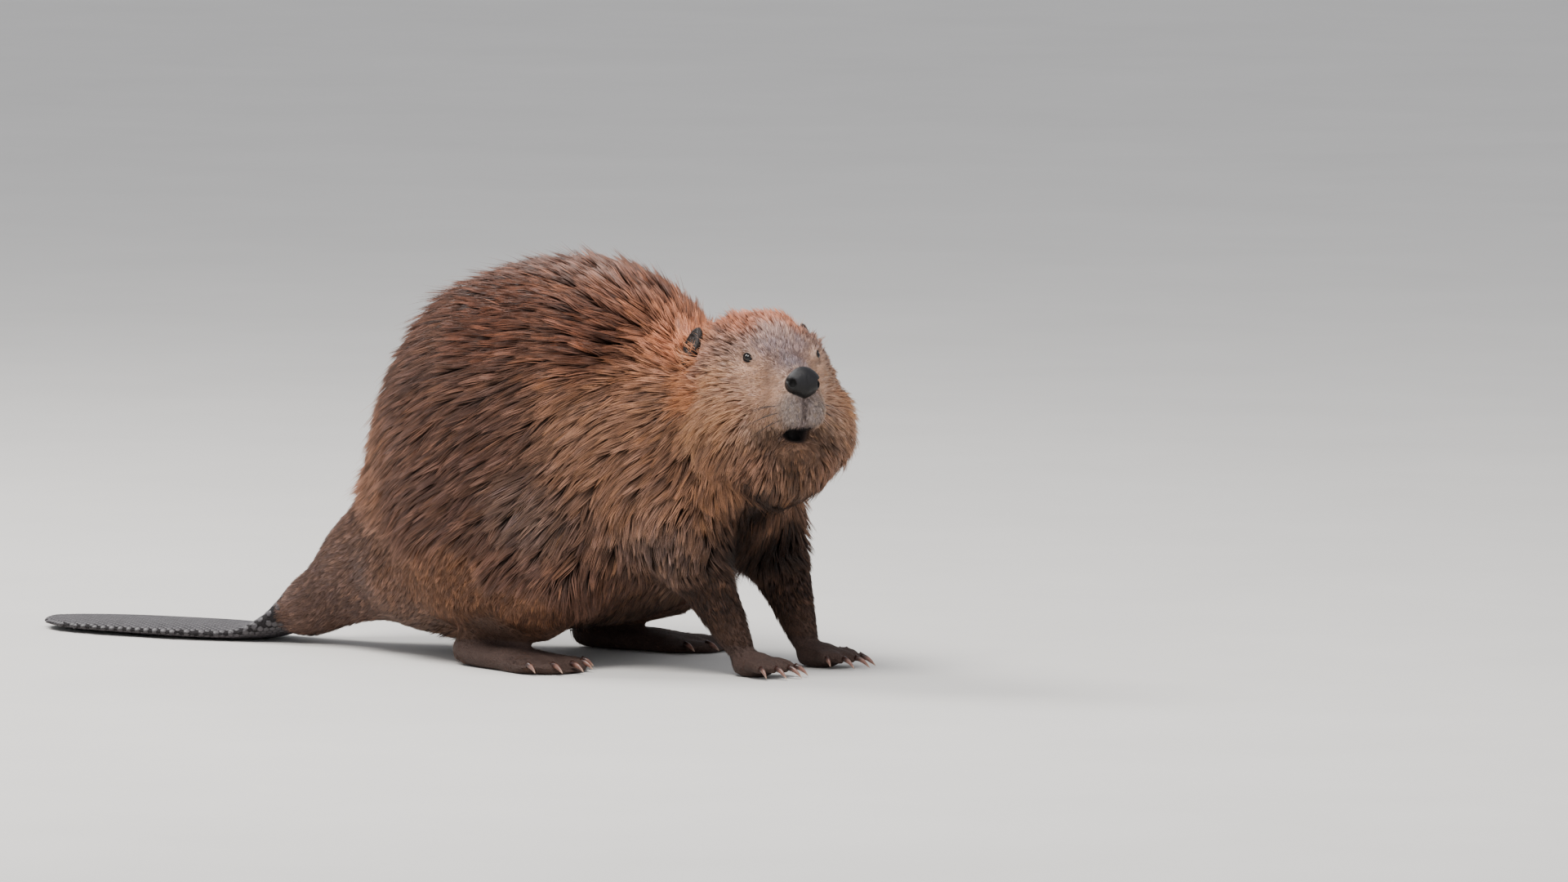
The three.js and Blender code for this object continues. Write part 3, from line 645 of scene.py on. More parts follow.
def find_eye(side):
    """Where an eye's solid stands, and the axes of its lids."""
    low, high = node_box(f"eye_{side}")
    axis = unit(mirrored(EYE_WAY, SIDES[side])) @ HEAD_AXES
    across = unit(np.cross([0, 0, 1], axis))
    return Eye((low + high) / 2, (high - low).max() / 2 - EYE_INSET, axis, across, np.cross(axis, across))


EYES = {side: find_eye(side) for side in SIDES}


def lid_share(points, eye):
    """1 at the edge of the lids, less inside the opening, more outside."""
    q = points - eye.centre
    across, up = q @ eye.across, q @ eye.up
    return np.hypot(across / LID_OPEN[0], (up + LID_SLANT * across) / LID_OPEN[1])


def from_eye(points, eye):
    """Distance to the middle of an eye."""
    return np.linalg.norm(points - eye.centre, axis=1)


def near_lids(points, eye):
    """As lid_share, but far more away from the eye."""
    return lid_share(points, eye) + FAR * (from_eye(points, eye) > LID_NEAR)


def shape_lids(points):
    """Lays the skin over each eyeball as lids, with the opening pushed behind the ball."""
    reach, behind = LID_ZONE
    for eye in EYES.values():
        near = np.flatnonzero((from_eye(points, eye) < reach) & ((points - eye.centre) @ eye.axis > behind))
        q = points[near] - eye.centre
        share = lid_share(points[near], eye)
        off, height = np.hypot(q @ eye.across, q @ eye.up), q @ eye.axis
        shell = eye.radius + LID_THICK
        over = np.sqrt(shell ** 2 - np.minimum(off, LID_EDGE) ** 2)
        over -= LID_SLOPE * np.maximum(off - LID_EDGE, 0)
        upper = smoothstep(-1, 4, q @ eye.up)
        rim = LID_RIM[0] * hump(share, *LID_RIM[1:])
        crease = (LID_CREASE[0] + CREASE_MORE * upper) * hump(share, *LID_CREASE[1:])
        lid = over + (rim - crease) + UPPER_LID * upper
        hidden = np.sqrt(np.maximum(eye.radius ** 2 - off ** 2, 0)) - LID_HIDDEN
        lid = mix(hidden, lid, smoothstep(0.93, 1.03, share))
        moved = mix(lid, height, smoothstep(*LID_REACH, off))
        points[near] += eye.axis * (moved - height)[:, None]
    return points


# ---- skin ----

VOXEL = 3.2
GROWN = 0.5        # that each solid is grown by, to close the gaps between them
MOUTH_FILL = ([-46, 0, -47], [20, 26, 13])   # an ellipsoid that fills the solid's mouth


def mesh_object(name, points, faces, smooth=True):
    """A mesh object from points in millimetres and faces of one size."""
    data = bpy.data.meshes.new(name)
    size = faces.shape[1]
    data.vertices.add(len(points))
    data.vertices.foreach_set("co", (points * MM).astype(np.float32).ravel())
    data.loops.add(faces.size)
    data.loops.foreach_set("vertex_index", faces.astype(np.int32).ravel())
    data.polygons.add(len(faces))
    data.polygons.foreach_set("loop_start", np.arange(0, faces.size, size, dtype=np.int32))
    data.polygons.foreach_set("use_smooth", np.full(len(faces), smooth))
    data.update(calc_edges=True)
    obj = bpy.data.objects.new(name, data)
    bpy.context.scene.collection.objects.link(obj)
    return obj


def joined_flesh():
    """One voxel surface round the flesh but the ears, grown over the gaps, filled at eyes and mouth."""
    parts = []
    for node in [n for n in FLESH if not n.startswith("ear")] + [f"eye_{side}" for side in SIDES]:
        p, t = node_arrays(node)
        parts.append((p + vertex_normals(p, t) * GROWN, t))
    at, radii = MOUTH_FILL
    points, faces = ball(16, 24)
    parts.append((from_head(points * radii + at), faces))
    obj = mesh_object("flesh", *joined(parts))
    remesh = obj.modifiers.new("remesh", "REMESH")
    remesh.mode = "VOXEL"
    remesh.voxel_size = VOXEL * MM
    return evaluated(obj)


def evaluated(obj):
    """The mesh of an object after its modifiers; the object is taken away."""
    data = bpy.data.meshes.new_from_object(obj.evaluated_get(bpy.context.evaluated_depsgraph_get()))
    bpy.data.objects.remove(obj)
    return data


def joined_solids(points, triangles, solids):
    """The union of a closed surface with others."""
    obj = mesh_object("whole", points, triangles)
    others = [mesh_object(f"part_{i}", *solid) for i, solid in enumerate(solids)]
    for other in others:
        union = obj.modifiers.new("union", "BOOLEAN")
        union.operation, union.solver, union.object = "UNION", "MANIFOLD", other
    data = evaluated(obj)
    for other in others:
        bpy.data.objects.remove(other)
    return read_triangles(data)


# Balls of the head's frame whose faces are divided: middle, radius and how many times; then a box.
FINE_BALLS = [((-44, 0, -16), 66, 1), ((-10, 0, 0), 25, 2), ((-16, 0, -44), 24, 2), ((-5, 0, -1), 17, 3)]
FINE_MOUTH = ((-24, 0, -46), (30, 21, 12))
FINE_EYE = 14      # radius round each eye
FEET = [f"{part}_{side}" for part in ("forepaw", "foot_hind") for side in SIDES]


def fine_zones(points):
    """How often the faces round each point are divided: once on face and paws, thrice at the eyes."""
    h = to_head(points)
    level = np.zeros(len(points), int)
    for node in FEET:
        low, high = node_box(node)
        level[((points > low - 2) & (points < high + 2)).all(1)] = 1
    for at, radius, times in FINE_BALLS:
        level[np.linalg.norm(h - at, axis=1) < radius] = times
    at, half = FINE_MOUTH
    level[(np.abs(h - at) < half).all(1)] = 3
    for eye in EYES.values():
        level[from_eye(points, eye) < FINE_EYE] = 3
    return level


def divide(data):
    """Divides the faces in the fine zones and leaves triangles."""
    bm = bmesh.new()
    bm.from_mesh(data)
    for step in (1, 2, 3):
        bm.verts.ensure_lookup_table()
        middle = np.array([v.co for v in bm.verts]) / MM
        chosen = fine_zones(middle) >= step
        edges = [e for e in bm.edges if chosen[e.verts[0].index] and chosen[e.verts[1].index]]
        bmesh.ops.subdivide_edges(bm, edges=edges, cuts=1, use_grid_fill=True, smooth=0)
        bm.verts.index_update()
    bmesh.ops.triangulate(bm, faces=bm.faces)
    bm.to_mesh(data)
    bm.free()
    return read_triangles(data)


def biggest_piece(points, triangles):
    """Keeps the one connected surface with the most triangles."""
    label = np.arange(len(points))
    edges = edge_list(triangles)
    while True:
        low = np.minimum(label[edges[:, 0]], label[edges[:, 1]])
        new = label.copy()
        np.minimum.at(new, edges[:, 0], low)
        np.minimum.at(new, edges[:, 1], low)
        new = new[new]
        if (new == label).all():
            break
        label = new
    kept = label[triangles[:, 0]] == np.bincount(label[triangles[:, 0]]).argmax()
    used, index = np.unique(triangles[kept], return_inverse=True)
    return points[used], index.reshape(-1, 3)


def near_node(points, node, margin):
    """1 inside a node's box, falling to 0 that far outside it."""
    low, high = node_box(node)
    outside = np.maximum(np.maximum(low - points, points - high), 0)
    return 1 - smoothstep(0, margin, np.linalg.norm(outside, axis=1))


def bareness(points):
    """Share of each point that is on the small bare parts, which are smoothed little."""
    return np.max([near_node(points, node, 8) for node in FEET] + [near_node(points, "tail", 6)], axis=0)


PROBE = 0.05       # step over which a field's slope is measured
MOST_MOVE = 2.5    # that a point moves in one round
DAMPING = 0.8


def project(points, depth, rounds=7):
    """Moves points in the head's frame onto the face, drawn in by the coat's depth."""
    def field(p):
        return blend(3, face_form(p) + depth, nose_form(p))
    for _ in range(rounds):
        value = field(points)
        slope = np.stack([(field(points + PROBE * axis) - value) / PROBE for axis in np.eye(3)], 1)
        square = np.maximum((slope ** 2).sum(1), 0.2)
        move = np.clip(value / square, -MOST_MOVE, MOST_MOVE)[:, None] * slope
        points = points - move * DAMPING
    return points


NEAR_MOUTH = ((-38, 0, -47), (20, 26, 12))   # box of the head's frame that is laid on the face once more
FACE_BACK = (-185, -150)   # x between which the face's own form takes over from the neck
ABOVE_FLOOR = 0.05


def on_face_share(points):
    """1 on the head and the nose, where the skin is laid on the face's own form."""
    h = to_head(points)
    share = 1 - smoothstep(2.0, 6.0, np.abs(face_form(h)))
    return np.maximum(share, near_node(points, "nose", 4)) * smoothstep(*FACE_BACK, h[:, 0])


def smoothed(points, edges, amount):
    """Loses the solids' facets and joins without shrinking: each round relaxes, then swells back."""
    points = relax(points, edges, 4, 0.5)
    for _ in range(30):
        points = relax(points, edges, 1, 0.62 * amount)
        points = relax(points, edges, 1, -0.58 * amount)
    return points


def drawn_in(points, triangles, edges, bare):
    """The surface drawn in by the coat's depth, in three steps."""
    depth = coat_at(points)["depth"]
    for _ in range(3):
        points = points - vertex_normals(points, triangles) * (depth / 3)[:, None]
        points = relax(points, edges, 3, 0.4 * (1 - bare))
    return points


def laid_on_face(points, edges, on_face):
    """The head's skin on the face's form, with a second go at the nose and the mouth."""
    face = np.flatnonzero(on_face > 0.01)
    drawn = from_head(project(to_head(points[face]), coat_at(points[face])["depth"]))
    points[face] = mix(points[face], drawn, on_face[face])
    points = relax(points, edges, 2, 0.35 * on_face)
    h = to_head(points)
    at, half = NEAR_MOUTH
    off_mouth = np.linalg.norm(np.maximum(np.abs(h - at) - half, 0), axis=1)
    small = (1 - smoothstep(2, 5, np.minimum(np.abs(nose_form(h)), off_mouth))) * on_face
    some = np.flatnonzero(small > 0.01)
    depth = coat_at(points[some])["depth"]
    for _ in range(4):
        points = relax(points, edges, 3, 0.5 * small)
        points[some] = mix(points[some], from_head(project(to_head(points[some]), depth, 3)), small[some])
    return points


def with_ears(points, triangles):
    """The skin with its ears joined on and their feet smoothed."""
    shells = [shell for side in SIDES.values() for shell in ear_shell(side)]
    points, triangles = joined_solids(points, triangles, shells)
    h = to_head(points)
    at, radius = EAR_FOOT
    foot = np.max([1 - smoothstep(3, 9, np.linalg.norm(h - mirrored(at, side), axis=1) - radius)
                   for side in SIDES.values()], axis=0) * (face_form(h) < -3)
    return relax(points, edge_list(triangles), 6, 0.5 * foot), triangles


def make_skin():
    """Points and triangles of the skin."""
    points, triangles = biggest_piece(*divide(joined_flesh()))
    edges = edge_list(triangles)
    bare, on_face = bareness(points), on_face_share(points)
    points = smoothed(points, edges, (1 - bare) * (1 - on_face))
    points = drawn_in(points, triangles, edges, bare)
    points = shape_lids(shape_mouth(laid_on_face(points, edges, on_face)))
    points[:, 2] = np.maximum(points[:, 2], ABOVE_FLOOR)
    return with_ears(points, triangles)


# ---- where the skin is bare ----

def nose_share(points):
    """1 on the nose pad, 0 off it."""
    return 1 - smoothstep(0.6, 1.8, pad_form(to_head(points)))


def mouth_share(points):
    """1 inside the mouth."""
    return 1 - smoothstep(0.75, 1.0, lip_share(to_head(points)))


def lid_bare(points):
    """1 on the dark rim of the lids."""
    return 1 - smoothstep(1.3, 1.5, np.min([near_lids(points, eye) for eye in EYES.values()], axis=0))


def ear_share(points):
    """1 on the ears, down to where the coat's locks close over their feet."""
    h = to_head(points)
    on_ear = np.max([1 - smoothstep(1.5, 3, ear_form(h, side)) for side in SIDES.values()], axis=0)
    return on_ear * smoothstep(-10, -8, face_form(h))


def foot_share(points):
    """1 on the bare feet and toes, 0 above the wrist and the heel."""
    share = np.zeros(len(points))
    for side in SIDES:
        for part, top in (("forepaw", 30), ("foot_hind", 26)):
            share = np.maximum(share, near_node(points, f"{part}_{side}", 4) * (points[:, 2] < top))
    return share


def tail_share(points):
    """1 on the scaly tail."""
    return smoothstep(2, -4, points[:, 0] - node_box("tail")[1][0])


# ---- tufts of the coat ----

TUFT_STEPS = 3
LOCK_TUFTS = 8       # tufts to a lock
BUNDLE_LOCKS = 5     # locks to a bundle
BUNDLE_PULL = 0.34
TINT_RISE = 2.0      # how late along a tuft its tip's colour comes in; before that the dark root colour, partly painted shade between the locks, holds
DENSER = 1.84        # roots to each square of the tracts' gap
STRAY_TUFTS = 0.06   # share of the tufts that stand off the coat, and of the locks
STRAY_LOCKS = 0.10
PROUD = 0.42         # how much higher the coat stands where it lifts most
PROUD_LIFT = (31, 44)
ROOT_SINK = 0.6      # depth of a tuft's root under the skin
FLOOR_GAP = 0.6      # least height of a tuft over the floor
PIECE_TUFTS = 19000  # most tufts in one piece of the coat
STRAIGHT = 10        # hair shorter than this is made of straight tufts
BRIGHTEST = 0.88     # most that one channel of a hair's colour reaches
PATCH = 0.003        # a tuft's width in the bake map


def bare_share(points):
    """1 where no hair grows."""
    h = to_head(points)
    lips = np.maximum(1 - smoothstep(0.97, 1.03, lip_share(h)), 1 - smoothstep(0.6, 1.8, cleft_form(h)))
    return np.clip(nose_share(points) + lips + lid_bare(points) + tail_share(points)
                   + 0.75 * foot_share(points) + (points[:, 2] < 1.5), 0, 1)


def morton(points):
    """A code that puts points near each other in space near each other in order."""
    cell = ((points - points.min(0)) / (np.ptp(points, axis=0).max() + 1e-6) * 1023).astype(np.int64)
    code = np.zeros(len(points), np.int64)
    for bit in range(10):
        for axis in range(3):
            code |= ((cell[:, axis] >> bit) & 1) << (3 * bit + axis)
    return code


def scatter_roots(points, triangles):
    """Roots spread evenly by area and by the coat's gap, in an order that runs over the body."""
    a, b, c = (points[triangles[:, i]] for i in range(3))
    cross = np.cross(b - a, c - a)
    middle = (a + b + c) / 3
    area = np.linalg.norm(cross, axis=1) / 2
    weight = area / hair_at(middle)["gap"] ** 2 * DENSER * (1 - bare_share(middle))
    order = np.argsort(morton(middle), kind="stable")
    total = np.cumsum(weight[order])
    picks = np.arange(int(total[-1]) - 1) + rng.random(int(total[-1]) - 1)
    face = order[np.searchsorted(total, picks)]
    u, v = rng.random((2, len(face)))
    over = u + v > 1
    u, v = np.where(over, 1 - u, u)[:, None], np.where(over, 1 - v, v)[:, None]
    return a[face] + (b - a)[face] * u + (c - a)[face] * v, unit(cross[face])


def nearest(tree, points):
    """Nearest place on the skin and its normal, for each point."""
    found = [tree.find_nearest(p) for p in points.tolist()]
    return np.array([f[0] for f in found]), np.array([f[1] for f in found])


def sway(points, swing):
    """A slow wandering of the lie from place to place, as an angle."""
    x, y, z = points.T
    return swing * (np.sin(x / 19 + z / 27) + np.sin(y / 17 - z / 14 + 1.3) + np.sin((x - z) / 9 + 0.7)) / 2


def turned_in_plane(direction, normal, angle):
    """A direction in the surface, turned about the normal."""
    return direction * np.cos(angle)[:, None] + np.cross(normal, direction) * np.sin(angle)[:, None]


def find_locks(places, each):
    """For every place, the index of the one its lock is drawn to: the nearest of a few picked at random."""
    picked = np.sort(rng.choice(len(places), max(1, len(places) // each), replace=False))
    tree = KDTree(len(picked))
    for i, p in enumerate(places[picked].tolist()):
        tree.insert(p, i)
    tree.balance()
    return picked[[tree.find(p)[1] for p in places.tolist()]]


def comb(roots, normals, look, lock, tree):
    """The middle line of each tuft, from below the skin to its tip, its normals, and which tufts stray."""
    count = len(roots)
    stray_tuft = (rng.random(count) < STRAY_TUFTS) * rng.uniform(0.06, 0.26, count)
    length = look["length"] * rng.uniform(0.78, 1.12, count) * rng.uniform(0.85, 1.1, count)[lock]
    length = length * (1 + stray_tuft)
    proud = 1 + PROUD * smoothstep(*PROUD_LIFT, look["lift"])
    height = look["depth"] * proud * rng.uniform(0.7, 1.3, count)[lock] * rng.uniform(0.86, 1.14, count)
    slope = np.clip(np.tan(np.radians(look["lift"])) * length / np.maximum(height, 0.2), 0.8, 3.0)
    stray_lock = ((rng.random(count) < STRAY_LOCKS) * rng.uniform(0.05, 0.15, count))[lock]
    rise_more = np.maximum(stray_tuft, stray_lock) * (look["lift"] / 30) ** 1.5
    angle = sway(roots, math.radians(9)) + rng.normal(0, math.radians(4.5), count)[lock] \
        + rng.normal(0, math.radians(4), count)
    direction = turned_in_plane(tangent(look["lie"], normals), normals, angle)
    base, up = roots, normals
    line, ups = [roots - normals * ROOT_SINK], [normals]
    for step in range(1, TUFT_STEPS + 1):
        share = step / TUFT_STEPS
        base, up = nearest(tree, base + direction * (length / TUFT_STEPS)[:, None])
        flow = turned_in_plane(tangent(hair_at(base)["lie"], up), up, angle)
        direction = tangent(mix(direction, flow, 0.6), up)
        rise = height * (1 - (1 - share) ** slope) + rise_more * length * share ** 2
        line.append(base + up * rise[:, None])
        ups.append(up)
    return np.stack(line, 1), np.stack(ups, 1), stray_tuft > 0


def gather(line, normals, look, lock, stray):
    """Draws the tufts together in locks, and the locks in bundles."""
    count = len(line)
    share = np.linspace(0, 1, TUFT_STEPS + 1)
    same_way = (normals * normals[lock]).sum(1) > 0.6
    pull = look["clump"] * same_way * rng.uniform(0.75, 1.0, count) * np.where(stray, 0.25, 1)
    drawn = line + (line[lock] - line) * (pull[:, None] * share ** 1.3)[:, :, None]
    leaders = np.unique(lock)
    bundle = leaders[find_locks(line[leaders, 0], BUNDLE_LOCKS)]
    follow = bundle[np.searchsorted(leaders, lock)]
    same_way = (normals * normals[follow]).sum(1) > 0.6
    pull = BUNDLE_PULL * look["clump"] * same_way
    return drawn + (line[follow] - line[lock]) * (pull[:, None] * share ** 1.6)[:, :, None]


LONG_RINGS = (0.0, 0.5)    # shares of a tuft's length where its rings lie
SHORT_RINGS = (0.0,)
RING_GIRTH = (0.85, 0.9)
RIDGE = 0.4                # a tuft's height over its width


def along_line(line, share):
    """The place at a share of each tuft's length."""
    step = min(int(share * TUFT_STEPS), TUFT_STEPS - 1)
    return line[:, step] + (line[:, step + 1] - line[:, step]) * (share * TUFT_STEPS - step)


def tuft_mesh(line, up, width, rings):
    """Closed three-sided blades of one or two rings and a tip, and one blade's faces."""
    spots = [along_line(line, share) for share in rings] + [line[:, -1]]
    points = []
    for i, girth in enumerate(RING_GIRTH[:len(rings)]):
        along = spots[i + 1] - spots[i]
        across = unit(np.cross(along, up[:, min(2 * i, TUFT_STEPS)]))
        out = unit(np.cross(across, along))
        half = (width * girth / 2)[:, None]
        points += [spots[i] - across * half, spots[i] + out * half * 2 * RIDGE, spots[i] + across * half]
    points.append(spots[-1])
    faces = [(0, 2, 1)]
    last = 3 * len(rings) - 3
    for k in range(3):
        there = (k + 1) % 3
        for ring in range(0, last, 3):
            faces += [(ring + k, ring + there, ring + there + 3), (ring + k, ring + there + 3, ring + k + 3)]
        faces.append((last + k, last + there, last + 3))
    return np.stack(points, 1), np.array(faces)


def box_chart(roots, normals):
    """A place on the map for each root: six charts by the way the skin faces, each laid flat."""
    axis = np.abs(normals).argmax(1)
    way = np.take_along_axis(normals, axis[:, None], 1)[:, 0] > 0
    chart = axis * 2 + way
    place = np.zeros((len(roots), 2))
    for i in range(6):
        mine = chart == i
        if mine.any():
            flat = np.delete(roots[mine], i // 2, 1)
            low, high = flat.min(0), flat.max(0)
            share = (flat - low) / np.maximum(high - low, 1)
            place[mine] = (np.array([i % 3, i // 3]) + 0.03 + 0.92 * share) / [3, 2]
    return place


def tuft_arrays(tufts, rings):
    """Points, faces, colours and places on the bake map of some tufts."""
    points, faces = tuft_mesh(tufts["line"], tufts["ups"], tufts["width"], rings)
    share = np.append(np.repeat(rings, 3), 1.0)
    # each tuft stays dark towards its root: the hair's own dark under-part with painted shade between the
    # locks
    tint = share[None, :, None] ** TINT_RISE
    colour = tufts["root"][:, None] * (1 - tint) + tufts["tip"][:, None] * tint
    side = np.append(np.tile([-0.5, 0, 0.5], len(rings)), 0)
    ridge = np.append(np.tile([0, 0.25, 0], len(rings)), 0)
    place = tufts["place"][:, None] + (np.stack([side, share - ridge], 1) * PATCH)[None]
    faces = copies(faces, points.shape[1], len(points))
    return points.reshape(-1, 3), faces, colour.reshape(-1, 3), place.reshape(-1, 2)


def coat_piece(name, tufts, material):
    """One mesh of tufts with its colours and bake map."""
    made = []
    for mine, rings in ((~tufts["short"], LONG_RINGS), (tufts["short"], SHORT_RINGS)):
        if mine.any():
            made.append(tuft_arrays({key: value[mine] for key, value in tufts.items()}, rings))
    points, faces = joined([part[:2] for part in made])
    colour, place = (np.concatenate([part[i] for part in made]) for i in (2, 3))
    obj = mesh_object(name, points, faces)
    uv = obj.data.uv_layers.new(name="OFBake")
    uv.data.foreach_set("uv", place[faces.ravel()].astype(np.float32).ravel())
    dress(obj, colour, material)


def put_colour(data, colour, name="tone"):
    """Paints a mesh's points."""
    layer = data.color_attributes.new(name, "FLOAT_COLOR", "POINT")
    rgba = np.ones((len(data.vertices), 4), np.float32)
    rgba[:, :3] = colour
    layer.data.foreach_set("color", rgba.ravel())


LEG_REGIONS = [("foreleg", "foreleg", 8), ("forepaw", "forepaw", 5), ("foot", "foot_hind", 3)]
BACK_OF_HEAD = -150
NAPE_BACK = -200
MUZZLE_BACK = -50
BELLY_TOP = 45


def coat_regions(roots):
    """A number for each root's region, and the regions' names and slots; later ones take from earlier."""
    h = to_head(roots)
    names, slots, region = [], [], np.zeros(len(roots), int)

    def add(name, slot, mask):
        names.append(name)
        slots.append(slot)
        region[mask] = len(names) - 1

    x_mid = (TRUNK_LOW[0] + TRUNK_HIGH[0]) / 2
    halves = [(side, (roots[:, 1] > 0) == (side == "left")) for side in SIDES]
    for side, mine in halves:
        add(f"coat_flank_front_{side}", "coat", mine & (roots[:, 0] > x_mid))
        add(f"coat_flank_rear_{side}", "coat", mine & (roots[:, 0] <= x_mid))
    add("coat_belly", "coat", roots[:, 2] < BELLY_TOP)
    for side, mine in halves:
        add(f"coat_thigh_{side}", "coat", mine & (near_node(roots, f"thigh_{side}", 4) > 0.5)
            & (roots[:, 2] < node_box(f"thigh_{side}")[1][2] - 30))
        for name, node, reach in LEG_REGIONS:
            add(f"coat_{name}_{side}", "leg_coat", mine & (near_node(roots, f"{node}_{side}", reach) > 0.5))
    add("coat_tail_root", "leg_coat", roots[:, 0] < node_box("tail_root")[1][0] - 45)
    for side in SIDES:
        mine = (h[:, 1] > 0) == (side == "left")
        head, face = h[:, 0] > BACK_OF_HEAD, face_form(h) < 12
        add(f"coat_nape_{side}", "coat", (h[:, 0] > NAPE_BACK) & ~head & (h[:, 2] > -90) & mine)
        add(f"coat_cheek_{side}", "coat_pale", head & mine & face & (h[:, 2] > -120))
        add(f"coat_muzzle_{side}", "coat_pale", (h[:, 0] > MUZZLE_BACK) & mine & face & (h[:, 2] > -90))
    return region, names, slots


LOCK_SHADE = 0.34    # how much the tips' lightness varies from lock to lock, and from tuft to tuft
TUFT_SHADE = 0.26
ROOT_SHADE = 0.15
WARMTH = 0.05        # how much their hue varies from lock to lock


def random_tones(look, lock):
    """Root and tip colours that differ from lock to lock and from tuft to tuft."""
    count = len(lock)
    own = rng.normal(0, 1, count)
    shade = np.exp(LOCK_SHADE * rng.normal(0, 1, count)[lock] + TUFT_SHADE * own - 0.09)[:, None]
    warm = 1 + WARMTH * rng.normal(0, 1, count)[lock][:, None] * np.array([1, 0.35, -1])
    root, tip = look["root"] * np.exp(ROOT_SHADE * own)[:, None], look["tip"] * shade * warm
    return root, tip / np.maximum(1, tip.max(1, keepdims=True) / BRIGHTEST)


def make_coat(points, triangles, tree, material):
    """All the coat's pieces."""
    roots, normals = scatter_roots(points, triangles)
    look = hair_at(roots)
    lock = find_locks(roots, LOCK_TUFTS)
    line, ups, stray = comb(roots, normals, look, lock, tree)
    line = gather(line, normals, look, lock, stray)
    line[:, :, 2] = np.maximum(line[:, :, 2], FLOOR_GAP)
    root_colour, tip_colour = random_tones(look, lock)
    width = look["wide"] * rng.uniform(0.7, 1.35, len(roots)) * np.where(stray, 0.65, 1)
    tufts = {"line": line, "ups": ups, "width": width, "root": root_colour, "tip": tip_colour,
             "place": box_chart(roots, normals), "short": look["length"] < STRAIGHT}
    region, names, slots = coat_regions(roots)
    for i, (name, slot) in enumerate(zip(names, slots)):
        mine = np.flatnonzero(region == i)
        parts = max(1, math.ceil(len(mine) / PIECE_TUFTS))
        for part, some in enumerate(np.array_split(mine, parts)):
            if len(some):
                coat_piece(f"{name}_{part + 1}" if parts > 1 else name,
                           {key: value[some] for key, value in tufts.items()}, material)


# ---- materials ----

def new_material(name, roughness=0.5, specular=0.5):
    """A material, its shader, a helper that adds nodes, and its links."""
    material = bpy.data.materials.new(name)
    material.use_nodes = True
    nodes, links = material.node_tree.nodes, material.node_tree.links
    shader = nodes["Principled BSDF"]
    shader.inputs["Roughness"].default_value = roughness
    shader.inputs["Specular IOR Level"].default_value = specular

    def add(kind, *sockets, **values):
        """Adds a node. Values are its settings or go to its sockets, by name or in the sockets' order."""
        node = nodes.new(kind)
        for key, value in [*values.items(), *enumerate(sockets)]:
            if isinstance(key, str) and key not in node.inputs:
                setattr(node, key, value)
            elif isinstance(value, bpy.types.NodeSocket):
                links.new(value, node.inputs[key])
            else:
                node.inputs[key].default_value = value
        return node
    return material, shader, add, links


def attribute(add, name="tone"):
    """The colour painted on the mesh."""
    return add("ShaderNodeAttribute", attribute_name=name).outputs["Color"]


def object_place(add):
    """The place on the piece, in metres."""
    return add("ShaderNodeTexCoord").outputs["Object"]


def noise(add, scale, detail, place=None):
    """A fine unevenness, from 0 to 1."""
    return add("ShaderNodeTexNoise", Vector=place or object_place(add), Scale=scale, Detail=detail,
               Roughness=0.6).outputs["Fac"]


def ranged(add, value, low, high, to_low, to_high):
    """A value from low to high, turned to one between two others."""
    ends = {"From Min": low, "From Max": high, "To Min": to_low, "To Max": to_high}
    return add("ShaderNodeMapRange", Value=value, **ends).outputs["Result"]


def uneven(add, colour, height, low, high):
    """A colour made darker and lighter by the middle of a noise."""
    factor = ranged(add, height, 0.3, 0.7, low, high)
    return add("ShaderNodeVectorMath", colour, operation="SCALE", Scale=factor).outputs["Vector"]


def product(add, value, mask):
    """A value where its mask is 1, and 0 elsewhere."""
    return add("ShaderNodeMath", value, mask, operation="MULTIPLY").outputs["Value"]


def bump(add, height, distance, strength, **below):
    """The normal over a height, laid on another normal where one is given."""
    node = add("ShaderNodeBump", Height=height, Distance=distance, Strength=strength, **below)
    return node.outputs["Normal"]


def hair_material():
    """Hair of the tufts: the tone painted on each, streaked, with a low gloss."""
    material, shader, add, links = new_material("hair", 0.48, 0.3)
    links.new(uneven(add, attribute(add), noise(add, 900, 2.0), 0.82, 1.18), shader.inputs["Base Color"])
    return material


BARE_ROUGH, NOSE_SMOOTHER = 0.8, -0.36   # roughness off the nose, and what the nose adds to it


def skin_material():
    """The skin: under-fur with a fine bump of strands, a pebbled nose, creased leather on feet and tail."""
    material, shader, add, links = new_material("skin", specular=0.3)
    masks = add("ShaderNodeSeparateColor", Color=attribute(add, "masks"))
    nose, leather = masks.outputs["Red"], masks.outputs["Green"]
    place = object_place(add)
    strands = noise(add, 620, 3.0, place)
    pebbles = add("ShaderNodeTexVoronoi", Vector=place, Scale=1500.0, feature="F1").outputs["Distance"]
    creases = add("ShaderNodeTexVoronoi", Vector=place, Scale=420.0, feature="DISTANCE_TO_EDGE")
    crease = ranged(add, creases.outputs["Distance"], 0.0, 0.12, 0.0, 1.0)
    links.new(uneven(add, attribute(add), strands, 0.72, 1.25), shader.inputs["Base Color"])
    normal = bump(add, strands, 0.0006, 0.6)
    normal = bump(add, product(add, pebbles, nose), 0.00025, 0.6, Normal=normal)
    normal = bump(add, product(add, crease, leather), 0.0004, 0.8, Normal=normal)
    links.new(normal, shader.inputs["Normal"])
    rough = add("ShaderNodeMath", nose, NOSE_SMOOTHER, BARE_ROUGH, operation="MULTIPLY_ADD")
    links.new(rough.outputs["Value"], shader.inputs["Roughness"])
    return material


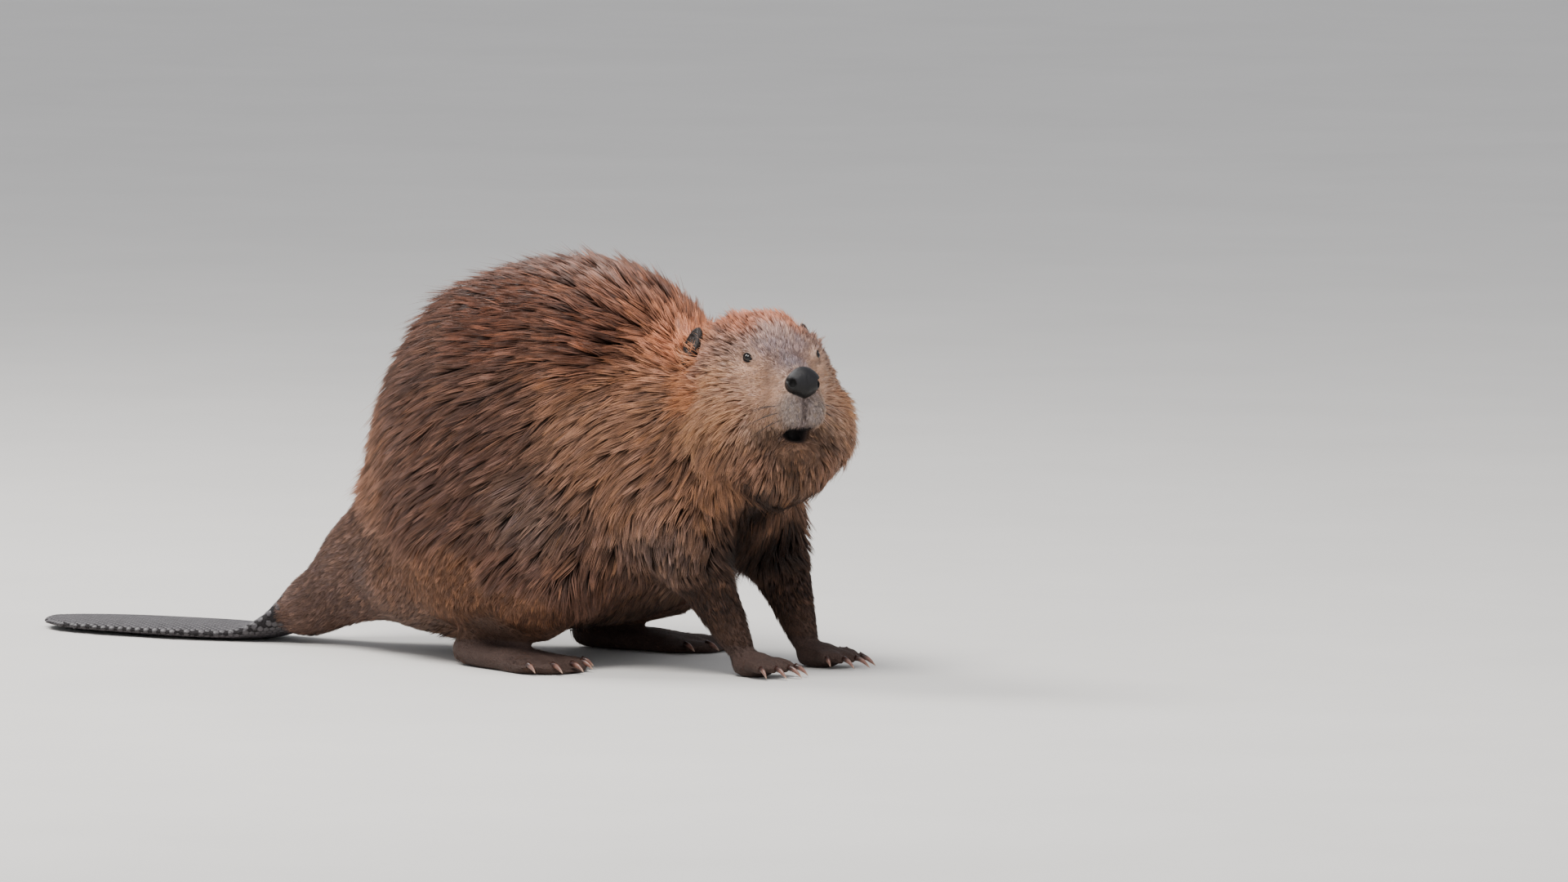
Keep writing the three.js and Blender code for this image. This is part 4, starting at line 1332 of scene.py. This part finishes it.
def horn_material(name, roughness, spread):
    """Claws and scales: the painted tone with fine growth lines and a soft gloss."""
    material, shader, add, links = new_material(name, roughness)
    grain = noise(add, spread, 4.0)
    links.new(uneven(add, attribute(add), grain, 0.8, 1.2), shader.inputs["Base Color"])
    links.new(bump(add, grain, 0.0003, 0.6), shader.inputs["Normal"])
    return material


def eye_material():
    """The wet, dark eyeball with fine flecks."""
    material, shader, add, links = new_material("eye", 0.08, 0.4)
    links.new(uneven(add, attribute(add), noise(add, 1400, 3.0), 0.6, 1.4), shader.inputs["Base Color"])
    return material


# ---- skin colours ----

BARE_TONES = {
    "nose": (19, 17, 20),
    # dark rim of the lips, and painted shade in the cleft and the corner folds
    "lip_rim_and_crease_shade": (40, 30, 28),
    # darker lower part of the nose pad: painted shade on its underside
    "nose_underside_shade": (5, 4, 4),
    # near black inside the nostrils: painted shade in the holes
    "nostril_shade": (3, 2, 2),
    # the mouth's hollow near black: painted shade inside the open mouth
    "mouth": (12, 7, 7),
    "lid": (30, 24, 23),
    "lid_pale": (160, 136, 122),
    "ear": (28, 21, 19),
    "foot": (66, 50, 44),
    "tail_joint": (24, 20, 22),
}


LID_DARK_EDGE = (1.2, 1.36)               # as lid_share: where the dark rim of the lids ends
LID_PALE_EDGES = ((1.2, 1.35), (1.6, 1.9))   # where the pale ring round it comes in and fades out
LID_PALENESS = 0.7


def paint(colour, tone, share):
    """Lays a bare tone over the colour where share is 1."""
    return mix(colour, linear(BARE_TONES[tone])[None], share)


def skin_colours(points):
    """The skin's tone at each point, with painted shade in the mouth, the nostrils, the cleft, the corner
    folds, under the nose and under the deep coat, and its masks: nose, leather, and a channel left empty.
    """
    look = coat_at(points)
    # the skin darker under a deep coat: the under-fur's own dark with painted shade under the hair
    shade_under_coat = smoothstep(1.5, 8, look["depth"])
    colour = mix(mix(look["root"], look["tip"], np.full(len(points), 0.5)), look["root"] * 0.55, shade_under_coat)
    h = to_head(points)
    nose, foot, tail = nose_share(points), foot_share(points), tail_share(points)
    ears = ear_share(points)
    colour = paint(colour, "ear", ears)
    colour = paint(colour, "foot", foot)
    colour = paint(colour, "tail_joint", tail)
    colour = paint(colour, "lip_rim_and_crease_shade", 0.9 * (1 - smoothstep(1.0, 1.3, lip_share(h))))
    # the fold at each corner painted dark: painted shade in the crease
    colour = paint(colour, "lip_rim_and_crease_shade", 0.8 * corner_share(h))
    # the cleft painted dark: painted shade in the groove
    colour = paint(colour, "lip_rim_and_crease_shade", 0.9 * (1 - smoothstep(0.8, 2.6, cleft_form(h))))
    # the inside of the mouth painted near black: painted shade in its hollow
    colour = paint(colour, "mouth", mouth_share(points))
    colour = paint(colour, "nose", nose)
    # the pad darker towards its bottom: painted shade on its underside
    colour = paint(colour, "nose_underside_shade", nose * (1 - smoothstep(-9, 2, h[:, 2])))
    # the nostrils' insides painted black: painted shade in the holes
    inside = nose * (1 - smoothstep(-1.0, -0.2, pad_form(h)))
    colour = paint(colour, "nostril_shade", inside)
    for eye in EYES.values():
        share = near_lids(points, eye)
        start, end = (smoothstep(*edge, share) for edge in LID_PALE_EDGES)
        colour = paint(colour, "lid_pale", LID_PALENESS * (start * (1 - end)))
        colour = paint(colour, "lid", 1 - smoothstep(*LID_DARK_EDGE, share))
    return colour, np.stack([nose * (1 - inside), np.clip(foot + tail, 0, 1), np.zeros(len(points))], 1)


# ---- separate pieces: eyes, claws, scales and whiskers ----

def copies(faces, points, count):
    """The faces of one shape with so many points, for every copy of it."""
    return (faces[None] + np.arange(count)[:, None, None] * points).reshape(-1, 3)


def tube(line, radii, sides, squash=1.0, up=(0, 0, 1)):
    """A closed tube along a line, one ring a point; squash narrows it across."""
    line = np.asarray(line, float)
    along = unit(np.gradient(line, axis=0))
    across = unit(np.cross(along, up))
    top = np.cross(across, along)
    turn = np.linspace(0, 2 * math.pi, sides, endpoint=False)
    ring = across[:, None] * np.cos(turn)[None, :, None] * squash + top[:, None] * np.sin(turn)[None, :, None]
    points = (line[:, None] + ring * np.asarray(radii)[:, None, None]).reshape(-1, 3)
    faces = []
    for i in range(len(line) - 1):
        for k in range(sides):
            a, b = i * sides + k, i * sides + (k + 1) % sides
            faces += [(a, b + sides, b), (a, a + sides, b + sides)]
    count = len(points)
    last = count - sides
    for k in range(sides):
        faces += [(k, (k + 1) % sides, count), (last + (k + 1) % sides, last + k, count + 1)]
    return np.concatenate([points, line[[0, -1]]]), np.array(faces)


def facing_out(points, faces):
    """The faces, turned about if the closed mesh is inside out."""
    a, b, c = (points[faces[:, i]] for i in range(3))
    return faces if (a * np.cross(b, c)).sum() > 0 else faces[:, ::-1]


def dress(obj, colour, material):
    """Gives a piece its colours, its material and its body."""
    put_colour(obj.data, colour)
    obj.data.materials.append(material)
    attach(obj, "root")


def shaded(tones, edges, x):
    """Tones in order along x, each passing to the next between a pair of edges."""
    colour = np.tile(linear(tones[0]), (len(x), 1))
    for tone, edge in zip(tones[1:], edges):
        colour = mix(colour, linear(tone)[None], smoothstep(*edge, x))
    return colour


EYE_TONES = [(5, 5, 6), (20, 14, 11), (16, 12, 11)]   # pupil, iris and the ball round it
EYE_EDGES = [(17, 21), (40, 46)]                      # degrees from the axis
EYE_RINGS, EYE_SIDES = 36, 40
EYE_POLE = 0.03                # angle at which the first ring lies
CORNEA = 0.05                  # that the cornea stands proud, by the radius
CORNEA_EDGE = (0.15, 0.75)


def make_eye(side, material):
    """An eyeball with its cornea standing proud, dark all over as a beaver's is."""
    eye = EYES[side]
    angle = np.linspace(EYE_POLE, math.pi - EYE_POLE, EYE_RINGS)
    bulge = 1 + CORNEA * (1 - smoothstep(*CORNEA_EDGE, angle))
    line = eye.centre + eye.axis * (np.cos(angle) * bulge * eye.radius)[:, None]
    points, faces = tube(line[::-1], (np.sin(angle) * bulge * eye.radius)[::-1], EYE_SIDES, 1.0, eye.up)
    off = np.degrees(np.arccos(np.clip(unit(points - eye.centre) @ eye.axis, -1, 1)))
    ball = mesh_object(f"eyeball_{side}", points, facing_out(points - points.mean(0), faces))
    dress(ball, shaded(EYE_TONES, EYE_EDGES, off), material)
    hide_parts(f"eye_{side}")


CLAW_TONES = [(54, 34, 29), (128, 92, 80), (176, 146, 126)]   # root, middle and tip
CLAW_EDGES = [(0.1, 0.45), (0.65, 0.98)]
CLAW_BASE = 0.35       # share of the solid's points that make up its root
CLAW_GIRTH = 0.86      # the claw's radius by the solid's
CLAW_ARCH = 0.10       # rise of its middle, by its length
CLAW_SINK = 1.5        # length of it inside the toe
CLAW_SQUASH = 0.78
CLAW_POINTS, CLAW_SIDES = 16, 12
CLAW_SHAPE = (1.7, 8)  # powers that the taper and the blunt tip follow
CLAW_BODY = 0.92       # part of the radius that tapers away
CLAW_BLUNT = 0.35      # radius kept almost to the tip
CLAW_END = 0.05        # radius at the tip


def make_claw(node, material):
    """A smooth curved claw along the line of its solid."""
    points, _ = node_arrays(node)
    middle = points.mean(0)
    way = np.linalg.svd(points - middle)[2][0]
    way = way if way[0] > 0 else -way
    reach = (points - middle) @ way
    base = points[reach < np.quantile(reach, CLAW_BASE)]
    root, tip = base.mean(0), points[reach.argmax()]
    length = np.linalg.norm(tip - root)
    radius = np.linalg.norm(base - root, axis=1).max() * CLAW_GIRTH
    share = np.linspace(0, 1, CLAW_POINTS)
    arch = 4 * (length * CLAW_ARCH) * share * (1 - share)
    line = root + (tip - root) * share[:, None] + np.array([0, 0, 1.0]) * arch[:, None]
    line[0] -= unit(tip - root) * CLAW_SINK
    taper, blunt = (1 - share ** power for power in CLAW_SHAPE)
    radii = radius * taper * CLAW_BODY + CLAW_BLUNT * blunt + CLAW_END
    made, faces = tube(line, radii, CLAW_SIDES, CLAW_SQUASH)
    made[:, 2] = np.maximum(made[:, 2], ABOVE_FLOOR)
    along = np.clip((made - root) @ unit(tip - root) / length, 0, 1)
    nail = mesh_object(f"nail_{node[5:]}", made, facing_out(made - made.mean(0), faces))
    dress(nail, shaded(CLAW_TONES, CLAW_EDGES, along), material)
    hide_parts(node)


SCALE_TONES = [(28, 24, 26), (50, 46, 49), (64, 60, 63)]   # at the skin, at the brim and on the crest
SCALE_LONG = 6.2
SCALE_WIDE = 6.8
SCALE_HIGH = 0.8
SCALE_SINK = 0.7       # depth of its foot in the skin
SCALE_FOOT = (0.60, 0.53)          # reach of the foot from the middle, by the length and the width
SCALE_BRIM, SCALE_CREST = 0.92, 0.5   # reach of the brim and the crest by the foot's
SCALE_LIFT = (0.10, 0.5)           # height of the brim in front, and what it gains to the rear
SCALE_DOME = (0.75, 0.25)          # the same of the crest, by the scale's height
SCALE_MIDDLE = 0.98    # the crest's middle, by the scale's height
SCALE_SIZES = (0.9, 1.1)
SCALE_UNEVEN = 0.12    # spread of the scales' shade
SCALE_SIDES = 6
SCALE_ROW = SCALE_LONG * 0.82      # from row to row, so that one laps the next
SCALE_COLUMN = SCALE_WIDE * 0.9
SCALE_COLUMNS = 12     # on each side of the tail's middle
SCALE_STEEP = 0.28     # least slope of the skin that carries scales: the edge of the blade has none
BLADE_TOP = 20         # height below which the underside is the blade's


def scale_places(tree):
    """Where the scales stand on both faces of the tail, in staggered rows, with the skin's normals."""
    low, high = node_box("tail")
    spots, ways = [], []
    for row in range(int((high[0] - low[0] - 2) / SCALE_ROW)):
        x = high[0] - 1.0 - row * SCALE_ROW
        for column in range(-SCALE_COLUMNS, SCALE_COLUMNS + 1):
            y = (column + 0.5 * (row % 2)) * SCALE_COLUMN
            for side in (1, -1):
                hit, normal, _, _ = tree.ray_cast(Vector((x, y, 60 * side + 30)), Vector((0, 0, -side)))
                if hit and abs(normal.z) > SCALE_STEEP and (side > 0 or hit.z < BLADE_TOP):
                    spots.append(hit)
                    ways.append(normal)
    return np.array(spots), unit(np.array(ways))


def scale_faces():
    """The faces of one scale: two bands of squares, the crest's fan and the foot's."""
    n = SCALE_SIDES
    faces = []
    for k in range(n):
        there = (k + 1) % n
        for a, b in ((k, there), (n + k, n + there)):
            faces += [(a, b, b + n), (a, b + n, a + n)]
        faces += [(2 * n + k, 2 * n + there, 3 * n), (there, k, 3 * n + 1)]
    return np.array(faces)


def make_scales(tree, material):
    """The tail's scales: domed lozenges in staggered rows, one lapping the next, on both faces."""
    spots, up = scale_places(tree)
    count = len(spots)
    back = tangent(np.tile([-1.0, 0, 0], (count, 1)), up)
    across = np.cross(up, back)
    turn = np.linspace(0, 2 * math.pi, SCALE_SIDES, endpoint=False)
    size = rng.uniform(*SCALE_SIZES, (count, 1, 1))
    edge = (back[:, None] * np.cos(turn)[None, :, None] * SCALE_LONG * SCALE_FOOT[0]
            + across[:, None] * np.sin(turn)[None, :, None] * SCALE_WIDE * SCALE_FOOT[1]) * size
    rear = (np.cos(turn)[None, :, None] + 1) / 2
    foot = spots[:, None] + edge - up[:, None] * SCALE_SINK
    brim = spots[:, None] + edge * SCALE_BRIM + up[:, None] * (SCALE_LIFT[0] + SCALE_LIFT[1] * rear)
    dome = SCALE_DOME[0] + SCALE_DOME[1] * rear
    crest = spots[:, None] + edge * SCALE_CREST + up[:, None] * SCALE_HIGH * dome
    ends = np.stack([spots + up * SCALE_HIGH * SCALE_MIDDLE, spots - up * SCALE_SINK], 1)
    points = np.concatenate([foot, brim, crest, ends], 1)
    faces = facing_out(points[0] - points[0].mean(0), scale_faces())
    rings = np.repeat([0, 1, 2, 0], [SCALE_SIDES, SCALE_SIDES, SCALE_SIDES + 1, 1])
    shade = np.exp(SCALE_UNEVEN * rng.normal(0, 1, (count, 1, 1)))
    colour = np.array([linear(t) for t in SCALE_TONES])[rings][None] * shade
    faces = copies(faces, points.shape[1], count)
    points = points.reshape(-1, 3)
    points[:, 2] = np.maximum(points[:, 2], 0.02)
    dress(mesh_object("tail_scales", points, faces), colour.reshape(-1, 3), material)


WHISKER_TONE = (40, 30, 26)
WHISKER_ROWS, WHISKER_COLUMNS = 3, 4
WHISKER_STEP = 7               # between rows and between columns
WHISKER_FIRST = (-22, 40, -20)   # where the search for the first one's root starts, on the left
WHISKER_LENGTHS = (26, 44)
WHISKER_SAG = 7
WHISKER_SINK = 1.5             # length of it inside the lip
WHISKER_POINTS, WHISKER_SIDES = 8, 5
WHISKER_THIN = (0.34, 0.06)    # radius that it loses to the tip, and keeps there


def whisker(tree, side, row, column):
    """One whisker's tube, or nothing where no skin is met."""
    back, down = WHISKER_STEP * column, WHISKER_STEP * row
    x, y, z = WHISKER_FIRST
    begin = from_head(np.array([x - back, side * y, z - down + 1.5 * column]))
    aim = from_head(np.array([x - 2 - back, 0, z - down]))
    hit, _, _, _ = tree.ray_cast(Vector(begin), Vector(unit(aim - begin)))
    if hit is None:
        return None
    way = np.array([-0.55 - 0.12 * column, side * 0.9, -0.18 * row + rng.uniform(-0.1, 0.1)])
    out = unit(way) @ HEAD_AXES
    length = rng.uniform(*WHISKER_LENGTHS)
    share = np.linspace(0, 1, WHISKER_POINTS)[:, None]
    line = np.array(hit) - out * WHISKER_SINK + out * length * share
    line = line + np.array([0, 0, -1]) * WHISKER_SAG * share ** 2
    lost, kept = WHISKER_THIN
    points, faces = tube(line, lost * (1 - share[:, 0]) + kept, WHISKER_SIDES)
    return points, facing_out(points - points.mean(0), faces)


def make_whiskers(tree, material):
    """A few dark whiskers on each side of the upper lip."""
    made = [whisker(tree, side, row, column) for side in SIDES.values()
            for row in range(WHISKER_ROWS) for column in range(WHISKER_COLUMNS)]
    points, faces = joined([part for part in made if part])
    colour = np.tile(linear(WHISKER_TONE), (len(points), 1))
    dress(mesh_object("whiskers", points, faces), colour, material)


# ---- the animal ----

def make_animal():
    """The skin, the coat and the separate pieces."""
    points, triangles = make_skin()
    skin = mesh_object("skin", points, triangles)
    colour, masks = skin_colours(points)
    dress(skin, colour, skin_material())
    put_colour(skin.data, masks, "masks")
    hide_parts(*FLESH)
    tree = BVHTree.FromPolygons(points.tolist(), triangles.tolist(), all_triangles=True)
    make_coat(points, triangles, tree, hair_material())
    make_scales(tree, horn_material("scale", 0.5, 500))
    make_whiskers(tree, horn_material("whisker", 0.4, 300))
    eye, claw = eye_material(), horn_material("claw", 0.32, 350)
    for side in SIDES:
        make_eye(side, eye)
    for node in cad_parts:
        if node.startswith("claw"):
            make_claw(node, claw)


# ---- floor, light and camera ----

CAMERA_AZIMUTH = math.radians(33)
CAMERA_ELEVATION = math.radians(5)
CAMERA_DISTANCE = 24.0
FRAME_SIZE = (1920, 1080)
PIXEL = 0.78               # millimetres that one pixel of the frame covers at the animal
NOSE_PIXEL = (983.5, 467.5)  # where the middle of the nose pad is seen
SENSOR = 36.0


def make_camera():
    """A long lens at the photo's angle, aimed so that the nose is seen where the photo has it."""
    a, e = CAMERA_AZIMUTH, CAMERA_ELEVATION
    right = np.array([math.cos(a), math.sin(a), 0])
    back = np.array([math.sin(a) * math.cos(e), -math.cos(a) * math.cos(e), math.sin(e)])
    up = np.cross(back, right)
    low, high = node_box("nose")
    off = np.array(FRAME_SIZE) / 2 - NOSE_PIXEL
    target = (low + high) / 2 + (right * off[0] - up * off[1]) * PIXEL
    data = bpy.data.cameras.new("camera")
    data.sensor_width = SENSOR
    data.lens = SENSOR * CAMERA_DISTANCE / (FRAME_SIZE[0] * PIXEL * MM)
    data.clip_end = 200
    camera = bpy.data.objects.new("camera", data)
    camera.location = Vector(target * MM) + Vector(back) * CAMERA_DISTANCE
    camera.rotation_mode = "QUATERNION"
    camera.rotation_quaternion = Vector(-back).to_track_quat("-Z", "Y")
    bpy.context.scene.collection.objects.link(camera)
    bpy.context.scene.camera = camera


FLOOR_SIZE = 60000.0       # half its side
FLOOR_TONE = (0.72, 0.70, 0.67, 1)


def make_floor():
    """A wide pale floor."""
    material, shader, add, links = new_material("floor", 0.85)
    base = add("ShaderNodeRGB").outputs[0]
    base.default_value = FLOOR_TONE
    links.new(uneven(add, base, noise(add, 3, 5.0), 0.96, 1.02), shader.inputs["Base Color"])
    size = FLOOR_SIZE
    corners = np.array([[-size, -size, 0], [size, -size, 0], [size, size, 0], [-size, size, 0]])
    floor = mesh_object("floor", corners, np.array([[0, 1, 2, 3]]), smooth=False)
    floor.data.materials.append(material)


def make_light(name, azimuth, elevation, distance, size, power, colour):
    """A round lamp that looks at the animal; azimuth 0 is the animal's right side."""
    data = bpy.data.lights.new(name, "AREA")
    data.shape = "DISK"
    data.size = size
    data.energy = power
    data.color = colour
    light = bpy.data.objects.new(name, data)
    a, e = math.radians(azimuth), math.radians(elevation)
    way = Vector((math.sin(a) * math.cos(e), -math.cos(a) * math.cos(e), math.sin(e)))
    light.location = way * distance + Vector((0.1, 0, 0.2))
    light.rotation_mode = "QUATERNION"
    light.rotation_quaternion = (-way).to_track_quat("-Z", "Y")
    bpy.context.scene.collection.objects.link(light)


def make_lights():
    """Soft studio light: a key, a fill, a rim from behind and a pale sky."""
    make_light("key", 15, 58, 3.2, 1.6, 115, (1.0, 0.97, 0.93))
    make_light("fill", 75, 25, 4.0, 3.0, 36, (0.95, 0.97, 1.0))
    make_light("rim", 268, 46, 3.5, 1.5, 120, (1.0, 0.98, 0.95))
    world = bpy.data.worlds.new("studio")
    world.use_nodes = True
    world.node_tree.nodes["Background"].inputs["Color"].default_value = (0.93, 0.95, 1.0, 1)
    world.node_tree.nodes["Background"].inputs["Strength"].default_value = 0.72
    bpy.context.scene.world = world


make_animal()
make_floor()
make_lights()
make_camera()
